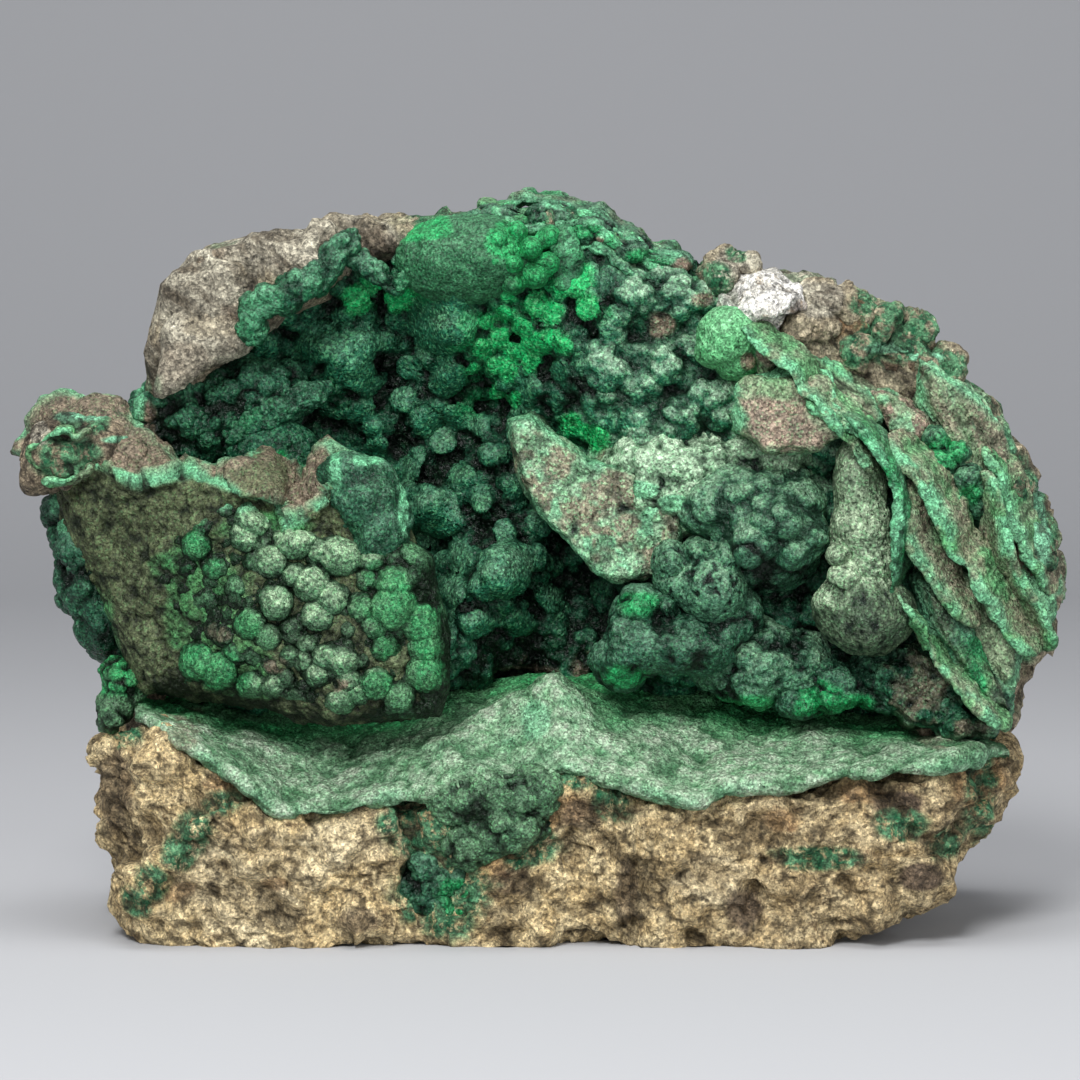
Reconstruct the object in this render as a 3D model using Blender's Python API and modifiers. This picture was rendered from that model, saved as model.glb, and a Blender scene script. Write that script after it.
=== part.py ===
"""Malachite specimen: a block of sandy host rock that holds half of a hollow, with a botryoidal
malachite lining on the walls of the hollow and a velvety malachite crust on its floor.

+Z is up, -Y is the open side of the hollow, and the rock rests on z = 0.
Every dimension below is in millimetres, and MM turns it into Blender's metres.
One fused mass is shaped first.  It is then parted along the contact between rock and malachite.
"""

import math

import bmesh
import bpy
import numpy as np
from mathutils import Matrix, Vector

MM = 0.001

# Depths, along Y, of the faces of the big masses.
BASE_FRONT, BASE_BACK = -50, 50
WALL_FRONT, WALL_BACK = -20, 44
FLAP_FRONT, FLAP_BACK = -47, -32
FLAP_SWING = -13            # degrees that the flap's tip is swung back
WALL_LEAN = 0.0016          # share of the wall's back that is lost per mm of height
ROUNDING = 7                # edge radius of the broken rock

# The hollow: an ellipsoid pressed into the wall from the front.
HOLLOW_CENTRE = (-16, -32, 108)
HOLLOW_RADII = (53, 42, 50)

CRUST_THICKNESS = 5         # of the malachite over the rock's core
PARTING_GAP = 0.3

# The crust on the floor: heights of its back and front edges at stations along X.
FLOOR_BACK_Y, FLOOR_FRONT_Y = -13, -50
FLOOR_BACK = ((-88, 52), (-66, 48), (-45, 46), (-23, 49), (14, 51), (30, 52), (54, 48), (80, 47), (106, 42))
FLOOR_FRONT = ((-88, 49), (-75, 43), (-60, 34), (-40, 32), (-20, 34), (0, 33), (33, 32), (57, 37), (80, 41),
               (106, 43))
HUMP_CENTRE, HUMP_HEIGHT = (3, -31), 18
HUMP_REACH_LEFT, HUMP_REACH_RIGHT, HUMP_REACH_DEEP = 21, 13, 13
SLOT_HEIGHT = 4             # clear height between the floor crust and what hangs over it
SLOT_BACK_Y = -6
FLOOR_GRID = ((-108, -64), (116, -2))
FLOOR_CELLS = (28, 6)       # of the floor's facets, along X and Y

# Outlines are (x, z) points of the front view, wound clockwise.
BASE_OUTLINE = ((-98, 40), (-92, 60), (-60, 66), (0, 70), (60, 66), (101, 58), (105, 41), (99, 27),
                (93, 15), (86, 8), (60, -1), (50, -7), (24, -6), (14, 2), (6, 2), (-4, -6), (-20, -6),
                (-32, 4), (-42, 3), (-50, -7), (-64, -7), (-79, -2), (-93, 8), (-97, 25))
WALL_OUTLINE = ((-90, 12), (-94, 50), (-96, 80), (-94, 116), (-85, 133), (-81, 153), (-53, 159), (-46, 163),
                (-16, 166), (2, 168), (12, 163), (29, 151), (42, 155), (51, 149), (71, 144), (81, 140),
                (88, 131), (104, 116), (111, 103), (119, 78), (119, 69), (109, 57), (104, 40), (92, 12))
FLAP_OUTLINE = ((-117, 108), (-113, 116), (-106, 119), (-98, 119), (-90, 114), (-75, 105), (-60, 101),
                (-51, 99), (-46, 108), (-41, 110), (-31, 102), (-26, 88), (-22, 71), (-24, 48), (-46, 46),
                (-75, 51), (-91, 52), (-97, 74), (-108, 94), (-116, 100))
# Malachite covers the rock inside this outline.
LINING_OUTLINE = ((-91, 118), (-80, 122), (-72, 127), (-68, 134), (-66, 142), (-57, 144), (-50, 147),
                  (-46, 153), (-40, 147), (-34, 145), (-31, 150), (-29, 157), (-21, 161), (-12, 163),
                  (0, 160), (10, 157), (26, 149), (36, 153), (40, 148), (44, 141), (54, 136), (60, 128),
                  (66, 123), (67, 113), (76, 111), (83, 98), (85, 86), (82, 72), (80, 60), (86, 46),
                  (84, 34), (-88, 34), (-93, 52), (-100, 72), (-112, 90), (-119, 104), (-112, 108),
                  (-96, 107), (-84, 106), (-72, 102), (-60, 99), (-54, 100), (-62, 106), (-76, 112),
                  (-90, 114))

# Broken faces of the rock's back and sides, each (a point on the face, its outward direction).
WALL_BREAKS = (
    ((52, 42, 110), (0.42, 1.0, 0.22)),
    ((-50, 41, 112), (-0.34, 1.0, 0.30)),
    ((-84, 38, 70), (-0.9, 1.0, 0.1)),
    ((104, 26, 80), (1.0, 0.7, 0.1)),
    ((10, 34, 150), (0.1, 0.9, 1.0)),
    ((-70, 34, 140), (-0.6, 0.8, 0.7)),
    ((76, 34, 134), (0.5, 0.8, 0.6)),
)
BASE_BREAKS = (
    ((0, 46, 52), (0.05, 1.0, 0.45)),
    ((-10, 47, 26), (-0.10, 1.0, -0.16)),
    ((66, 42, 20), (0.45, 1.0, -0.25)),
    ((-84, 34, 30), (-0.8, 1.0, -0.15)),
    ((94, 20, 30), (1.0, 0.5, -0.2)),
)

# Rounded forms, each (centre x, y, z), (radii x, y, z), turn about Y in degrees.
ROCK_FORMS = (
    ((-64, -22, 143), (22, 11, 12), -14),   # pale ledge at the upper left
    ((-34, -24, 158), (16, 10, 6), -8),     # brown ledge beside it
    ((6, -20, 160), (24, 12, 6), 12),       # thin ledges at the top
    ((56, -22, 143), (17, 11, 9), 16),      # white ledge at the upper right
    ((84, -20, 124), (18, 12, 13), 42),     # broken shoulder
    ((104, -16, 84), (12, 18, 28), 14),     # right flank
    ((101, -20, 57), (9, 14, 14), 0),       # its foot
    ((-106, -26, 109), (12, 11, 9), 20),    # knuckle at the tip of the flap
    ((-101, -14, 82), (10, 14, 14), 10),    # lumps behind the flap
)
COATED_FORMS = (
    ((36, -22, 103), (27, 20, 19), 10),     # broad shelf
    ((50, -30, 88), (15, 17, 14), 0),       # dark lobe at its right
    ((36, -32, 80), (15, 16, 15), 0),       # dark lobe below it
    ((31, -30, 66), (17, 17, 12), 12),      # hanging lower lobe
    ((9, -22, 97), (12, 14, 20), -38),      # broken face at the left of the shelf
    ((55, -33, 117), (11, 12, 10), 8),      # included pebble
    ((69, -34, 102), (8, 10, 13), 6),       # tongue, top
    ((71, -34, 86), (10, 11, 14), 0),       # tongue, middle
    ((72, -34, 72), (13, 12, 10), 0),       # tongue, foot
    ((48, -22, 62), (15, 14, 12), 0),       # cushion between lobe and tongue
    ((-16, -24, 152), (16, 16, 10), 8),     # dome at the top of the hollow
    ((45, -28, 133), (8, 9, 8), 0),         # knob
    ((-11, -8, 74), (15, 16, 18), 0),       # mound in the middle of the hollow
    ((-13, -12, 100), (9, 10, 13), 20),     # ridge in the hollow
    ((-38, -42, 97), (12, 12, 13), -25),    # hood over the flap
    ((-52, -28, 72), (26, 18, 22), 0),      # body behind the grape lumps
)
# Blades of the right flank: (foot x, z), (tip x, z), half width, depth y.
BLADES = (
    ((77, 112), (86, 66), 2.6, -34),
    ((84, 112), (104, 50), 6.0, -30),
    ((92, 112), (114, 62), 4.0, -26),
    ((84, 62), (106, 44), 4.5, -32),
)
BLADE_HALF_DEPTH = 18
# Grape-like lumps on the flap: (x, z, radius).
GRAPES = (
    (-64, 90, 4.4), (-66, 86, 4.0), (-54, 86, 5.0), (-44, 82, 5.2), (-60, 81, 4.2), (-36, 79, 4.4),
    (-55, 76, 3.6), (-51, 75, 4.4), (-47, 72, 4.4), (-59, 72, 4.6), (-66, 67, 4.4), (-61, 63, 4.0),
    (-50, 68, 4.4), (-32, 70, 6.4), (-27, 66, 5.6), (-38, 62, 3.8), (-27, 59, 5.0), (-48, 58, 4.0),
    (-44, 57, 4.2), (-37, 53, 4.6), (-61, 52, 4.0), (-66, 52, 4.2), (-77, 57, 5.0), (-73, 55, 4.8),
    (-78, 84, 3.8), (-74, 79, 3.4), (-50, 53, 3.6), (-29, 53, 4.4),
)
GRAPE_DEPTH = -46

LINING_LUMPS = 150          # lumps of the botryoidal lining
LUMP_RADII = (3.4, 7.0)
LUMP_SEED = 7

# Roughness of the rock: (pattern, size, strength).
ROUGHNESS = (("CLOUDS", 38, 12.0), ("CLOUDS", 14, 5.0), ("VORONOI", 9, -2.4))

ROCK_VOXEL, MASS_VOXEL = 2.2, 1.4
MASS_TRIANGLES = 2600


def clear_scene():
    for old in list(bpy.data.objects):
        bpy.data.objects.remove(old)


def material(name, colour, roughness):
    """A plain Principled finish."""
    made = bpy.data.materials.new(name)
    made.use_nodes = True
    shader = made.node_tree.nodes["Principled BSDF"]
    shader.inputs["Base Color"].default_value = (*colour, 1)
    shader.inputs["Roughness"].default_value = roughness
    made.diffuse_color = (*colour, 1)
    return made


def collection(name):
    made = bpy.data.collections.new(name)
    bpy.context.scene.collection.children.link(made)
    return made


def add_object(name, mesh, home):
    made = bpy.data.objects.new(name, mesh)
    home.objects.link(made)
    return made


def evaluated_mesh(source):
    """The mesh of an object with its modifiers applied, or of a curve, welded."""
    bpy.context.view_layer.update()
    graph = bpy.context.evaluated_depsgraph_get()
    mesh = bpy.data.meshes.new_from_object(source.evaluated_get(graph))
    mesh.transform(source.matrix_world)
    bm = bmesh.new()
    bm.from_mesh(mesh)
    bmesh.ops.remove_doubles(bm, verts=bm.verts, dist=1e-6)
    bm.to_mesh(mesh)
    bm.free()
    return mesh


def slab(name, outline, front, back, rounding, home):
    """A flat outline of the front view, extruded from front to back with rounded edges."""
    curve = bpy.data.curves.new(name, "CURVE")
    curve.dimensions = "2D"
    curve.fill_mode = "BOTH"
    curve.extrude = ((back - front) / 2 - rounding) * MM
    curve.bevel_depth = rounding * MM
    curve.bevel_resolution = 2
    curve.offset = -rounding * MM
    spline = curve.splines.new("POLY")
    spline.points.add(len(outline) - 1)
    for point, (x, z) in zip(spline.points, outline):
        point.co = (x * MM, z * MM, 0, 1)
    spline.use_cyclic_u = True
    stood = add_object(name, curve, home)
    stood.rotation_euler = (math.radians(90), 0, 0)
    stood.location.y = (front + back) / 2 * MM
    mesh = evaluated_mesh(stood)
    bpy.data.objects.remove(stood)
    return add_object(name, mesh, home)


def add_ellipsoid(bm, centre, radii, turn=0.0, divisions=3):
    """An icosphere stretched to an ellipsoid, turned about Y, added to a bmesh."""
    place = (
        Matrix.Translation(Vector(centre) * MM)
        @ Matrix.Rotation(math.radians(turn), 4, "Y")
        @ Matrix.Diagonal((*(r * MM for r in radii), 1))
    )
    bmesh.ops.create_icosphere(bm, subdivisions=divisions, radius=1, matrix=place)


def mesh_from(bm, name):
    mesh = bpy.data.meshes.new(name)
    bm.to_mesh(mesh)
    bm.free()
    return mesh


def floor_height(x, y):
    """Height of the floor crust: straight from back edge to front edge, with one rounded hump."""
    back = np.interp(x, *zip(*FLOOR_BACK))
    front = np.interp(x, *zip(*FLOOR_FRONT))
    share = np.clip((FLOOR_BACK_Y - y) / (FLOOR_BACK_Y - FLOOR_FRONT_Y), -0.3, 1.3)
    dx = x - HUMP_CENTRE[0]
    reach = HUMP_REACH_LEFT if dx < 0 else HUMP_REACH_RIGHT
    away = (dx / reach) ** 2 + ((y - HUMP_CENTRE[1]) / HUMP_REACH_DEEP) ** 2
    return float(back + (front - back) * share + HUMP_HEIGHT * math.exp(-(away**1.3)))


def floor_layer(name, low, high, back_y, home):
    """The closed layer between floor + low and floor + high, from in front of the base to back_y."""
    (left_x, front_y), (right_x, rear_y) = FLOOR_GRID
    across = Matrix.Diagonal(((right_x - left_x) / 2 * MM, (rear_y - front_y) / 2 * MM, 1, 1))
    middle = Matrix.Translation(((left_x + right_x) / 2 * MM, (front_y + rear_y) / 2 * MM, 0))
    bm = bmesh.new()
    columns, rows = FLOOR_CELLS
    bmesh.ops.create_grid(bm, x_segments=columns, y_segments=rows, size=1, matrix=middle @ across)
    for vertex in bm.verts:
        vertex.co.z = (floor_height(vertex.co.x / MM, vertex.co.y / MM) + low) * MM
    bmesh.ops.triangulate(bm, faces=bm.faces[:])
    bmesh.ops.bisect_plane(bm, geom=bm.verts[:] + bm.edges[:] + bm.faces[:], plane_co=(0, back_y * MM, 0),
                           plane_no=(0, 1, 0), clear_outer=True)
    raised = bmesh.ops.extrude_face_region(bm, geom=bm.faces[:])["geom"]
    upper = [item for item in raised if isinstance(item, bmesh.types.BMVert)]
    bmesh.ops.translate(bm, verts=upper, vec=(0, 0, (high - low) * MM))
    bmesh.ops.recalc_face_normals(bm, faces=bm.faces[:])
    return add_object(name, mesh_from(bm, name), home)


def combine(target, other, operation):
    """One Boolean between two closed meshes, applied."""
    step = target.modifiers.new(operation.lower(), "BOOLEAN")
    step.operation = operation
    step.object = other
    step.solver = "MANIFOLD"
    mesh = evaluated_mesh(target)
    target.modifiers.clear()
    target.data = mesh


def spend(target, other, operation):
    """A Boolean whose second object isn't needed again."""
    combine(target, other, operation)
    bpy.data.objects.remove(other)


def break_off(block, breaks):
    """Cuts a block by planes and closes each cut, as rock breaks."""
    bm = bmesh.new()
    bm.from_mesh(block.data)
    for point, outward in breaks:
        geometry = bm.verts[:] + bm.edges[:] + bm.faces[:]
        cut = bmesh.ops.bisect_plane(bm, geom=geometry, plane_co=Vector(point) * MM,
                                     plane_no=Vector(outward).normalized(), clear_outer=True)
        rim = [item for item in cut["geom_cut"] if isinstance(item, bmesh.types.BMEdge)]
        bmesh.ops.holes_fill(bm, edges=rim)
    bmesh.ops.recalc_face_normals(bm, faces=bm.faces[:])
    bm.to_mesh(block.data)
    bm.free()


def remesh(target, voxel):
    """Adds a voxel remesh, which fuses all that overlaps into one skin."""
    skin = target.modifiers.new("fuse", "REMESH")
    skin.mode = "VOXEL"
    skin.voxel_size = voxel * MM


def displace(target, pattern, size, strength):
    """Adds roughness along the normals from one of Blender's textures."""
    texture = bpy.data.textures.new(f"{target.name}_{pattern.lower()}_{size}", pattern)
    texture.noise_scale = size * MM
    step = target.modifiers.new(pattern.lower(), "DISPLACE")
    step.texture = texture
    step.strength = strength * MM
    step.mid_level = 0.5


def apply_modifiers(target):
    mesh = evaluated_mesh(target)
    target.modifiers.clear()
    target.data = mesh


def roughen(block):
    for pattern, size, strength in ROUGHNESS:
        displace(block, pattern, size, strength)
    apply_modifiers(block)


def hollow_form(growth, divisions, home):
    bm = bmesh.new()
    add_ellipsoid(bm, HOLLOW_CENTRE, [r + growth for r in HOLLOW_RADII], divisions=divisions)
    return add_object("hollow", mesh_from(bm, "hollow"), home)


def wall(home):
    """The upper rock, leaning back, with the hollow pressed into its front."""
    block = slab("wall", WALL_OUTLINE, WALL_FRONT, WALL_BACK, ROUNDING, home)
    for vertex in block.data.vertices:
        if vertex.co.y > 0:
            vertex.co.y *= 1 - WALL_LEAN * vertex.co.z / MM
    break_off(block, WALL_BREAKS)
    spend(block, hollow_form(0, 4, home), "DIFFERENCE")
    return block


def base(home):
    """The lower rock, cut off on top by the floor of the hollow."""
    block = slab("base", BASE_OUTLINE, BASE_FRONT, BASE_BACK, ROUNDING - 2, home)
    break_off(block, BASE_BREAKS)
    remesh(block, ROCK_VOXEL)
    roughen(block)
    spend(block, floor_layer("above_floor", 0, 40, SLOT_BACK_Y, home), "DIFFERENCE")
    return block


def swing_back(sheet):
    """Turns the flap about an upright line through its right end."""
    hinge = Matrix.Translation((-38 * MM, (FLAP_FRONT + 5) * MM, 0))
    sheet.data.transform(hinge @ Matrix.Rotation(math.radians(FLAP_SWING), 4, "Z") @ hinge.inverted())


def flap(home):
    """The thick septum at the left, swung so that its tip lies further back."""
    sheet = slab("flap", FLAP_OUTLINE, FLAP_FRONT, FLAP_BACK, 4, home)
    swing_back(sheet)
    return sheet


def add_blades(bm):
    """Thin sheets of the right flank: flattened ellipsoids from foot to tip."""
    for (x0, z0), (x1, z1), half_width, y in BLADES:
        length = math.hypot(x1 - x0, z1 - z0)
        lean = math.degrees(math.atan2(x0 - x1, z0 - z1))
        centre = ((x0 + x1) / 2, y, (z0 + z1) / 2)
        add_ellipsoid(bm, centre, (half_width, BLADE_HALF_DEPTH, length / 2), lean)


def hollow_depth(x, z):
    """Depth of the hollow's back at (x, z), or the wall's front outside it."""
    dx = (x - HOLLOW_CENTRE[0]) / HOLLOW_RADII[0]
    dz = (z - HOLLOW_CENTRE[2]) / HOLLOW_RADII[2]
    inside = 1 - dx * dx - dz * dz
    if inside <= 0:
        return WALL_FRONT
    return max(WALL_FRONT, HOLLOW_CENTRE[1] + HOLLOW_RADII[1] * math.sqrt(inside))


def add_lining_lumps(bm):
    """Lumps over the back of the hollow, set out on a sunflower spiral and shaken a little."""
    draw = np.random.default_rng(LUMP_SEED)
    golden_turn = math.pi * (3 - math.sqrt(5))
    for i in range(LINING_LUMPS):
        reach = math.sqrt((i + 0.5) / LINING_LUMPS)
        x = HOLLOW_CENTRE[0] + HOLLOW_RADII[0] * reach * math.cos(i * golden_turn) + draw.normal(0, 1.2)
        z = HOLLOW_CENTRE[2] + HOLLOW_RADII[2] * reach * math.sin(i * golden_turn) + draw.normal(0, 1.2)
        radius = draw.uniform(*LUMP_RADII)
        add_ellipsoid(bm, (x, hollow_depth(x, z), z), (radius, radius * 1.2, radius), divisions=2)


def fused(name, blocks, add_forms, voxel, home):
    """Blocks and the forms that add_forms puts in a bmesh, fused into one skin."""
    bm = bmesh.new()
    for block in blocks:
        bm.from_mesh(block.data)
        bpy.data.objects.remove(block)
    add_forms(bm)
    whole = add_object(name, mesh_from(bm, name), home)
    remesh(whole, voxel)
    apply_modifiers(whole)
    return whole


def add_ellipsoids(bm, forms, less=0, divisions=3):
    for centre, radii, turn in forms:
        add_ellipsoid(bm, centre, [r - less for r in radii], turn, divisions)


def reduce_to(target, triangles):
    """Collapses edges until about this many triangles are left."""
    now = sum(len(face.vertices) - 2 for face in target.data.polygons)
    fewer = target.modifiers.new("fewer", "DECIMATE")
    fewer.ratio = triangles / now
    apply_modifiers(target)


def rough_rock(home):
    """The rock alone: wall, flap and ledges in one roughened skin, and the base."""

    def add_forms(bm):
        add_ellipsoids(bm, ROCK_FORMS)

    upper = fused("rock", [wall(home), flap(home)], add_forms, ROCK_VOXEL, home)
    roughen(upper)
    return [upper, base(home)]


def whole_mass(home):
    """The specimen as one skin: rough rock, then the coated forms, the grapes and the lining's lumps."""

    def add_forms(bm):
        add_ellipsoids(bm, COATED_FORMS)
        for x, z, radius in GRAPES:
            add_ellipsoid(bm, (x, GRAPE_DEPTH, z), (radius, radius, radius), divisions=2)
        add_blades(bm)
        add_lining_lumps(bm)

    mass = fused("mass", rough_rock(home), add_forms, MASS_VOXEL, home)
    keep_largest(mass.data)
    reduce_to(mass, MASS_TRIANGLES)
    spend(mass, floor_layer("slot", 0, SLOT_HEIGHT, SLOT_BACK_Y, home), "DIFFERENCE")
    break_off(mass, [((0, 0, 0), (0, 0, -1))])
    keep_largest(mass.data)
    return mass


def keep_largest(mesh):
    """Deletes every island of a mesh but the one with the most vertices."""
    bm = bmesh.new()
    bm.from_mesh(mesh)
    unseen = set(bm.verts)
    islands = []
    while unseen:
        island, border = set(), [unseen.pop()]
        while border:
            vertex = border.pop()
            island.add(vertex)
            fresh = {edge.other_vert(vertex) for edge in vertex.link_edges} & unseen
            unseen -= fresh
            border.extend(fresh)
        islands.append(island)
    islands.sort(key=len)
    bmesh.ops.delete(bm, geom=[v for island in islands[:-1] for v in island], context="VERTS")
    bm.to_mesh(mesh)
    bm.free()


def grown(outline, amount):
    """An outline, wound clockwise, whose edges are all moved outwards by one amount."""
    points = np.array(outline, float)
    edges = np.roll(points, -1, 0) - points
    outward = np.stack([-edges[:, 1], edges[:, 0]], 1)
    outward /= np.linalg.norm(outward, axis=1)[:, None]
    before = np.roll(outward, 1, 0)
    opening = 1 + (outward * before).sum(1)
    return points + (outward + before) * (amount / np.maximum(opening, 0.1))[:, None]


def core_of_rock(gap, home):
    """The rock under the lining: wall, flap, base and coated forms, drawn in by the crust and a gap."""
    drawn_in = CRUST_THICKNESS + gap
    core = slab("core", grown(WALL_OUTLINE, -gap), WALL_FRONT + drawn_in, WALL_BACK, 0, home)
    spend(core, hollow_form(drawn_in, 3, home), "DIFFERENCE")
    sheet = slab("flap", grown(FLAP_OUTLINE, -gap), FLAP_FRONT + drawn_in, FLAP_BACK + 5 - gap, 0, home)
    swing_back(sheet)
    spend(core, sheet, "UNION")
    foundation = slab("base", grown(BASE_OUTLINE, -gap), BASE_FRONT - 10, WALL_BACK, 0, home)
    spend(foundation, floor_layer("above_floor", -gap, 40, SLOT_BACK_Y + gap, home), "DIFFERENCE")
    spend(core, foundation, "UNION")
    for form in COATED_FORMS:
        bm = bmesh.new()
        add_ellipsoids(bm, [form], less=drawn_in, divisions=2)
        spend(core, add_object("form", mesh_from(bm, "form"), home), "UNION")
    return core


def lining_space(name, gap, home):
    """Where malachite covers rock: its outline, from in front of the rock back to the core."""
    space = slab(name, grown(LINING_OUTLINE, gap), BASE_FRONT - 40, WALL_BACK / 2, 0, home)
    spend(space, core_of_rock(gap, home), "DIFFERENCE")
    spend(space, crust_space("crust_space", PARTING_GAP - gap, home), "DIFFERENCE")
    return space


def crust_space(name, gap, home):
    """The space of the floor crust: a layer along the floor."""
    low, high = -CRUST_THICKNESS - gap, SLOT_HEIGHT / 2 + gap
    return floor_layer(name, low, high, FLOOR_BACK_Y + 5 + gap, home)


def part_from(mass, name, finish, steps, home):
    """A named piece: a copy of the mass after a list of (operation, space) Booleans."""
    piece = add_object(name, mass.data.copy(), home)
    for operation, space in steps:
        combine(piece, space, operation)
    keep_largest(piece.data)
    piece.data.materials.clear()
    piece.data.materials.append(finish)
    return piece


def main():
    clear_scene()
    specimen = collection("malachite_specimen")
    cutters = collection("cutters")
    mass = whole_mass(cutters)
    lining = lining_space("lining_space", 0, cutters)
    lining_grown = lining_space("lining_space_grown", PARTING_GAP, cutters)
    crust = crust_space("crust_space", 0, cutters)
    crust_grown = crust_space("crust_space_grown", PARTING_GAP, cutters)
    part_from(mass, "host_rock", material("sandy_rock", (0.42, 0.32, 0.19), 0.95),
              [("DIFFERENCE", lining_grown), ("DIFFERENCE", crust_grown)], specimen)
    part_from(mass, "malachite_lining", material("botryoidal_malachite", (0.02, 0.16, 0.09), 0.7),
              [("INTERSECT", lining)], specimen)
    part_from(mass, "malachite_floor_crust", material("velvet_malachite", (0.06, 0.26, 0.15), 0.85),
              [("INTERSECT", crust)], specimen)
    for helper in (mass, lining, lining_grown, crust, crust_grown):
        helper.hide_render = True
        helper.display_type = "WIRE"


main()
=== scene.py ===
"""Malachite specimen: rough host rock, its hollow lined with lumpy malachite, and a velvety floor crust.

Lengths are in millimetres up to the last step, which turns them into metres.  Every piece is a closed
loft: an array of rings, worked out as whole arrays, with each end drawn together in a pole.
"""
import itertools

import bpy
import numpy as np
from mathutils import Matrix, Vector


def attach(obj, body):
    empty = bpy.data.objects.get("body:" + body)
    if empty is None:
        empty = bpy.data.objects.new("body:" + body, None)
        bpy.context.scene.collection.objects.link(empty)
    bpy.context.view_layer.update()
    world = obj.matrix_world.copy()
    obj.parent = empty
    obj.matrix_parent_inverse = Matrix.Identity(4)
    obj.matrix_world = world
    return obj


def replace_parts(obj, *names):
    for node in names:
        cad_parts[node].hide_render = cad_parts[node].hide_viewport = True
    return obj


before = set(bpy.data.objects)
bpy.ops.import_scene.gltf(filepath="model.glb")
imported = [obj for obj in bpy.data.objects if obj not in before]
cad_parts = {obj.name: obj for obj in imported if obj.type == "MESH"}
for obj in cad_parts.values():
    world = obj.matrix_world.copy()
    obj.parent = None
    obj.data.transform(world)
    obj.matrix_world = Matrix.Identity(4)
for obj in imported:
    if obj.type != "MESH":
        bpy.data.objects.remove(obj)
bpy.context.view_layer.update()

MM = 0.001
LINING_SLOT, CRUST_SLOT, ROCK_SLOT = "malachite_lining", "malachite_floor_crust", "host_rock"
ROCK_PATCHES = ("pale", "rust", "brown", "green", "rim")


# ---------------------------------------------------------------- patterns in space

def hashed(cell, salt):
    """Three repeatable fractions from 0 to 1 for each cell of whole numbers."""
    cell = cell.astype(np.int64).astype(np.uint64)
    mixed = cell[..., 0] * np.uint64(73856093) ^ cell[..., 1] * np.uint64(19349663)
    mixed = mixed ^ (cell[..., 2] * np.uint64(83492791)) ^ np.uint64(salt * 2654435761 + 12345)
    for shift in (15, 13, 16):
        mixed = (mixed ^ (mixed >> np.uint64(shift))) * np.uint64(2246822519) & np.uint64(0xFFFFFFFF)
    return np.stack([(mixed >> np.uint64(10 * k)) & np.uint64(1023) for k in range(3)], -1) / 1023


def noise(points, size, salt=0):
    """Soft noise from -1 to 1: eight corner values of each cube, blended by smoothstep 3f^2 - 2f^3."""
    scaled = points / size
    cell = np.floor(scaled)
    part = scaled - cell
    part = part * part * (3 - 2 * part)
    total = 0
    for corner in itertools.product((0, 1), repeat=3):
        weight = np.where(np.array(corner, bool), part, 1 - part).prod(-1)
        total = total + weight * hashed(cell + corner, salt)[..., 1]
    return total * 2 - 1


def layers(points, size, count, salt=0):
    """Noise in layers, each half the size and 0.55 of the height of the one before."""
    return sum(noise(points, size / 2**k, salt + k) * 0.55**k for k in range(count))


def around_cells(points, spacing):
    """The points in units of the spacing, and the 27 cubes round each of them in turn."""
    scaled = points / spacing
    home = np.floor(scaled)
    for offset in itertools.product((-1, 0, 1), repeat=3):
        yield scaled, home + offset


def caps(points, spacing, salt=0, small=0.62, large=1.0):
    """Height of close-set round lumps: the most of sqrt(r^2 - d^2) over scattered centres, one to a cube."""
    best = np.zeros(points.shape[:-1])
    for scaled, cell in around_cells(points, spacing):
        radius = small + (large - small) * hashed(cell, salt + 1)[..., 0] ** 2
        best = np.maximum(best, radius**2 - ((scaled - cell - hashed(cell, salt)) ** 2).sum(-1))
    return np.sqrt(best) * spacing


def broken(points, size, tilt, salt=0):
    """Height of broken faces: the highest of one tilted, slightly domed plane about each scattered seed."""
    best = np.full(points.shape[:-1], -9.0)
    for scaled, cell in around_cells(points, size):
        gap = scaled - cell - hashed(cell, salt)
        slope = (hashed(cell, salt + 1) - 0.5) * 1.6
        best = np.maximum(best, (gap * slope).sum(-1) - 0.55 * (gap**2).sum(-1))
    return best * size * tilt


def smooth(value, low, high):
    """0 below low, 1 above high, and 3t^2 - 2t^3 between."""
    t = np.clip((value - low) / (high - low), 0, 1)
    return t * t * (3 - 2 * t)


def spots(points, places, ragged=0.35):
    """Strongest of some patches (x, z, radius x, radius z) of the front view, with ragged edges."""
    wander = ragged * layers(points, 7, 3, 40)
    best = np.zeros(points.shape[:-1])
    for x, z, rx, rz in places:
        away = np.hypot((points[..., 0] - x) / rx, (points[..., 2] - z) / rz) + wander
        best = np.maximum(best, 1 - smooth(away, 0.75, 1.1))
    return best


# ---------------------------------------------------------------- closed lofts

def outward(rings):
    """Unit normals of a closed loft: across both directions of the array, turned away from the axis."""
    along = np.gradient(rings, axis=0)
    around = np.roll(rings, -1, 1) - np.roll(rings, 1, 1)
    normal = np.cross(along, around)
    normal /= np.linalg.norm(normal, axis=-1, keepdims=True) + 1e-9
    out = (normal * (rings - rings.mean(1, keepdims=True))).sum()
    return normal if out > 0 else -normal


def raised(rings, height):
    """The rings moved along their normals by a height."""
    return rings + outward(rings) * np.asarray(height)[..., None]


FINE_LUMPS = 2.6    # lumps closer together than this, in mm, are fine ones
LUMP_SINK = 0.55    # share of its spacing by which a lump is sunk in the surface


def lumpy(rings, spacings, salt=0, share=0.6):
    """Lumps grown on lumps: for each spacing, round caps along the normals of the last surface.  Also
    gives how far down each point lies between the lumps, from 0 on their crowns to 1, which the
    finishes use for painted shade."""
    depth = np.zeros(rings.shape[:2])
    total = 0
    for k, spacing in enumerate(spacings):
        fine = spacing < FINE_LUMPS
        height = caps(rings, spacing, salt + 11 * k, 0.74 if fine else 0.62)
        rings = raised(rings, (height - LUMP_SINK * spacing) * share)
        weight = 0.3 if fine else 0.8
        depth = depth + (1 - smooth(height / spacing, 0.1, 0.9)) * weight
        total = total + weight
    return rings, np.clip(depth / max(total, 0.6) / 0.75, 0, 1)


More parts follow.
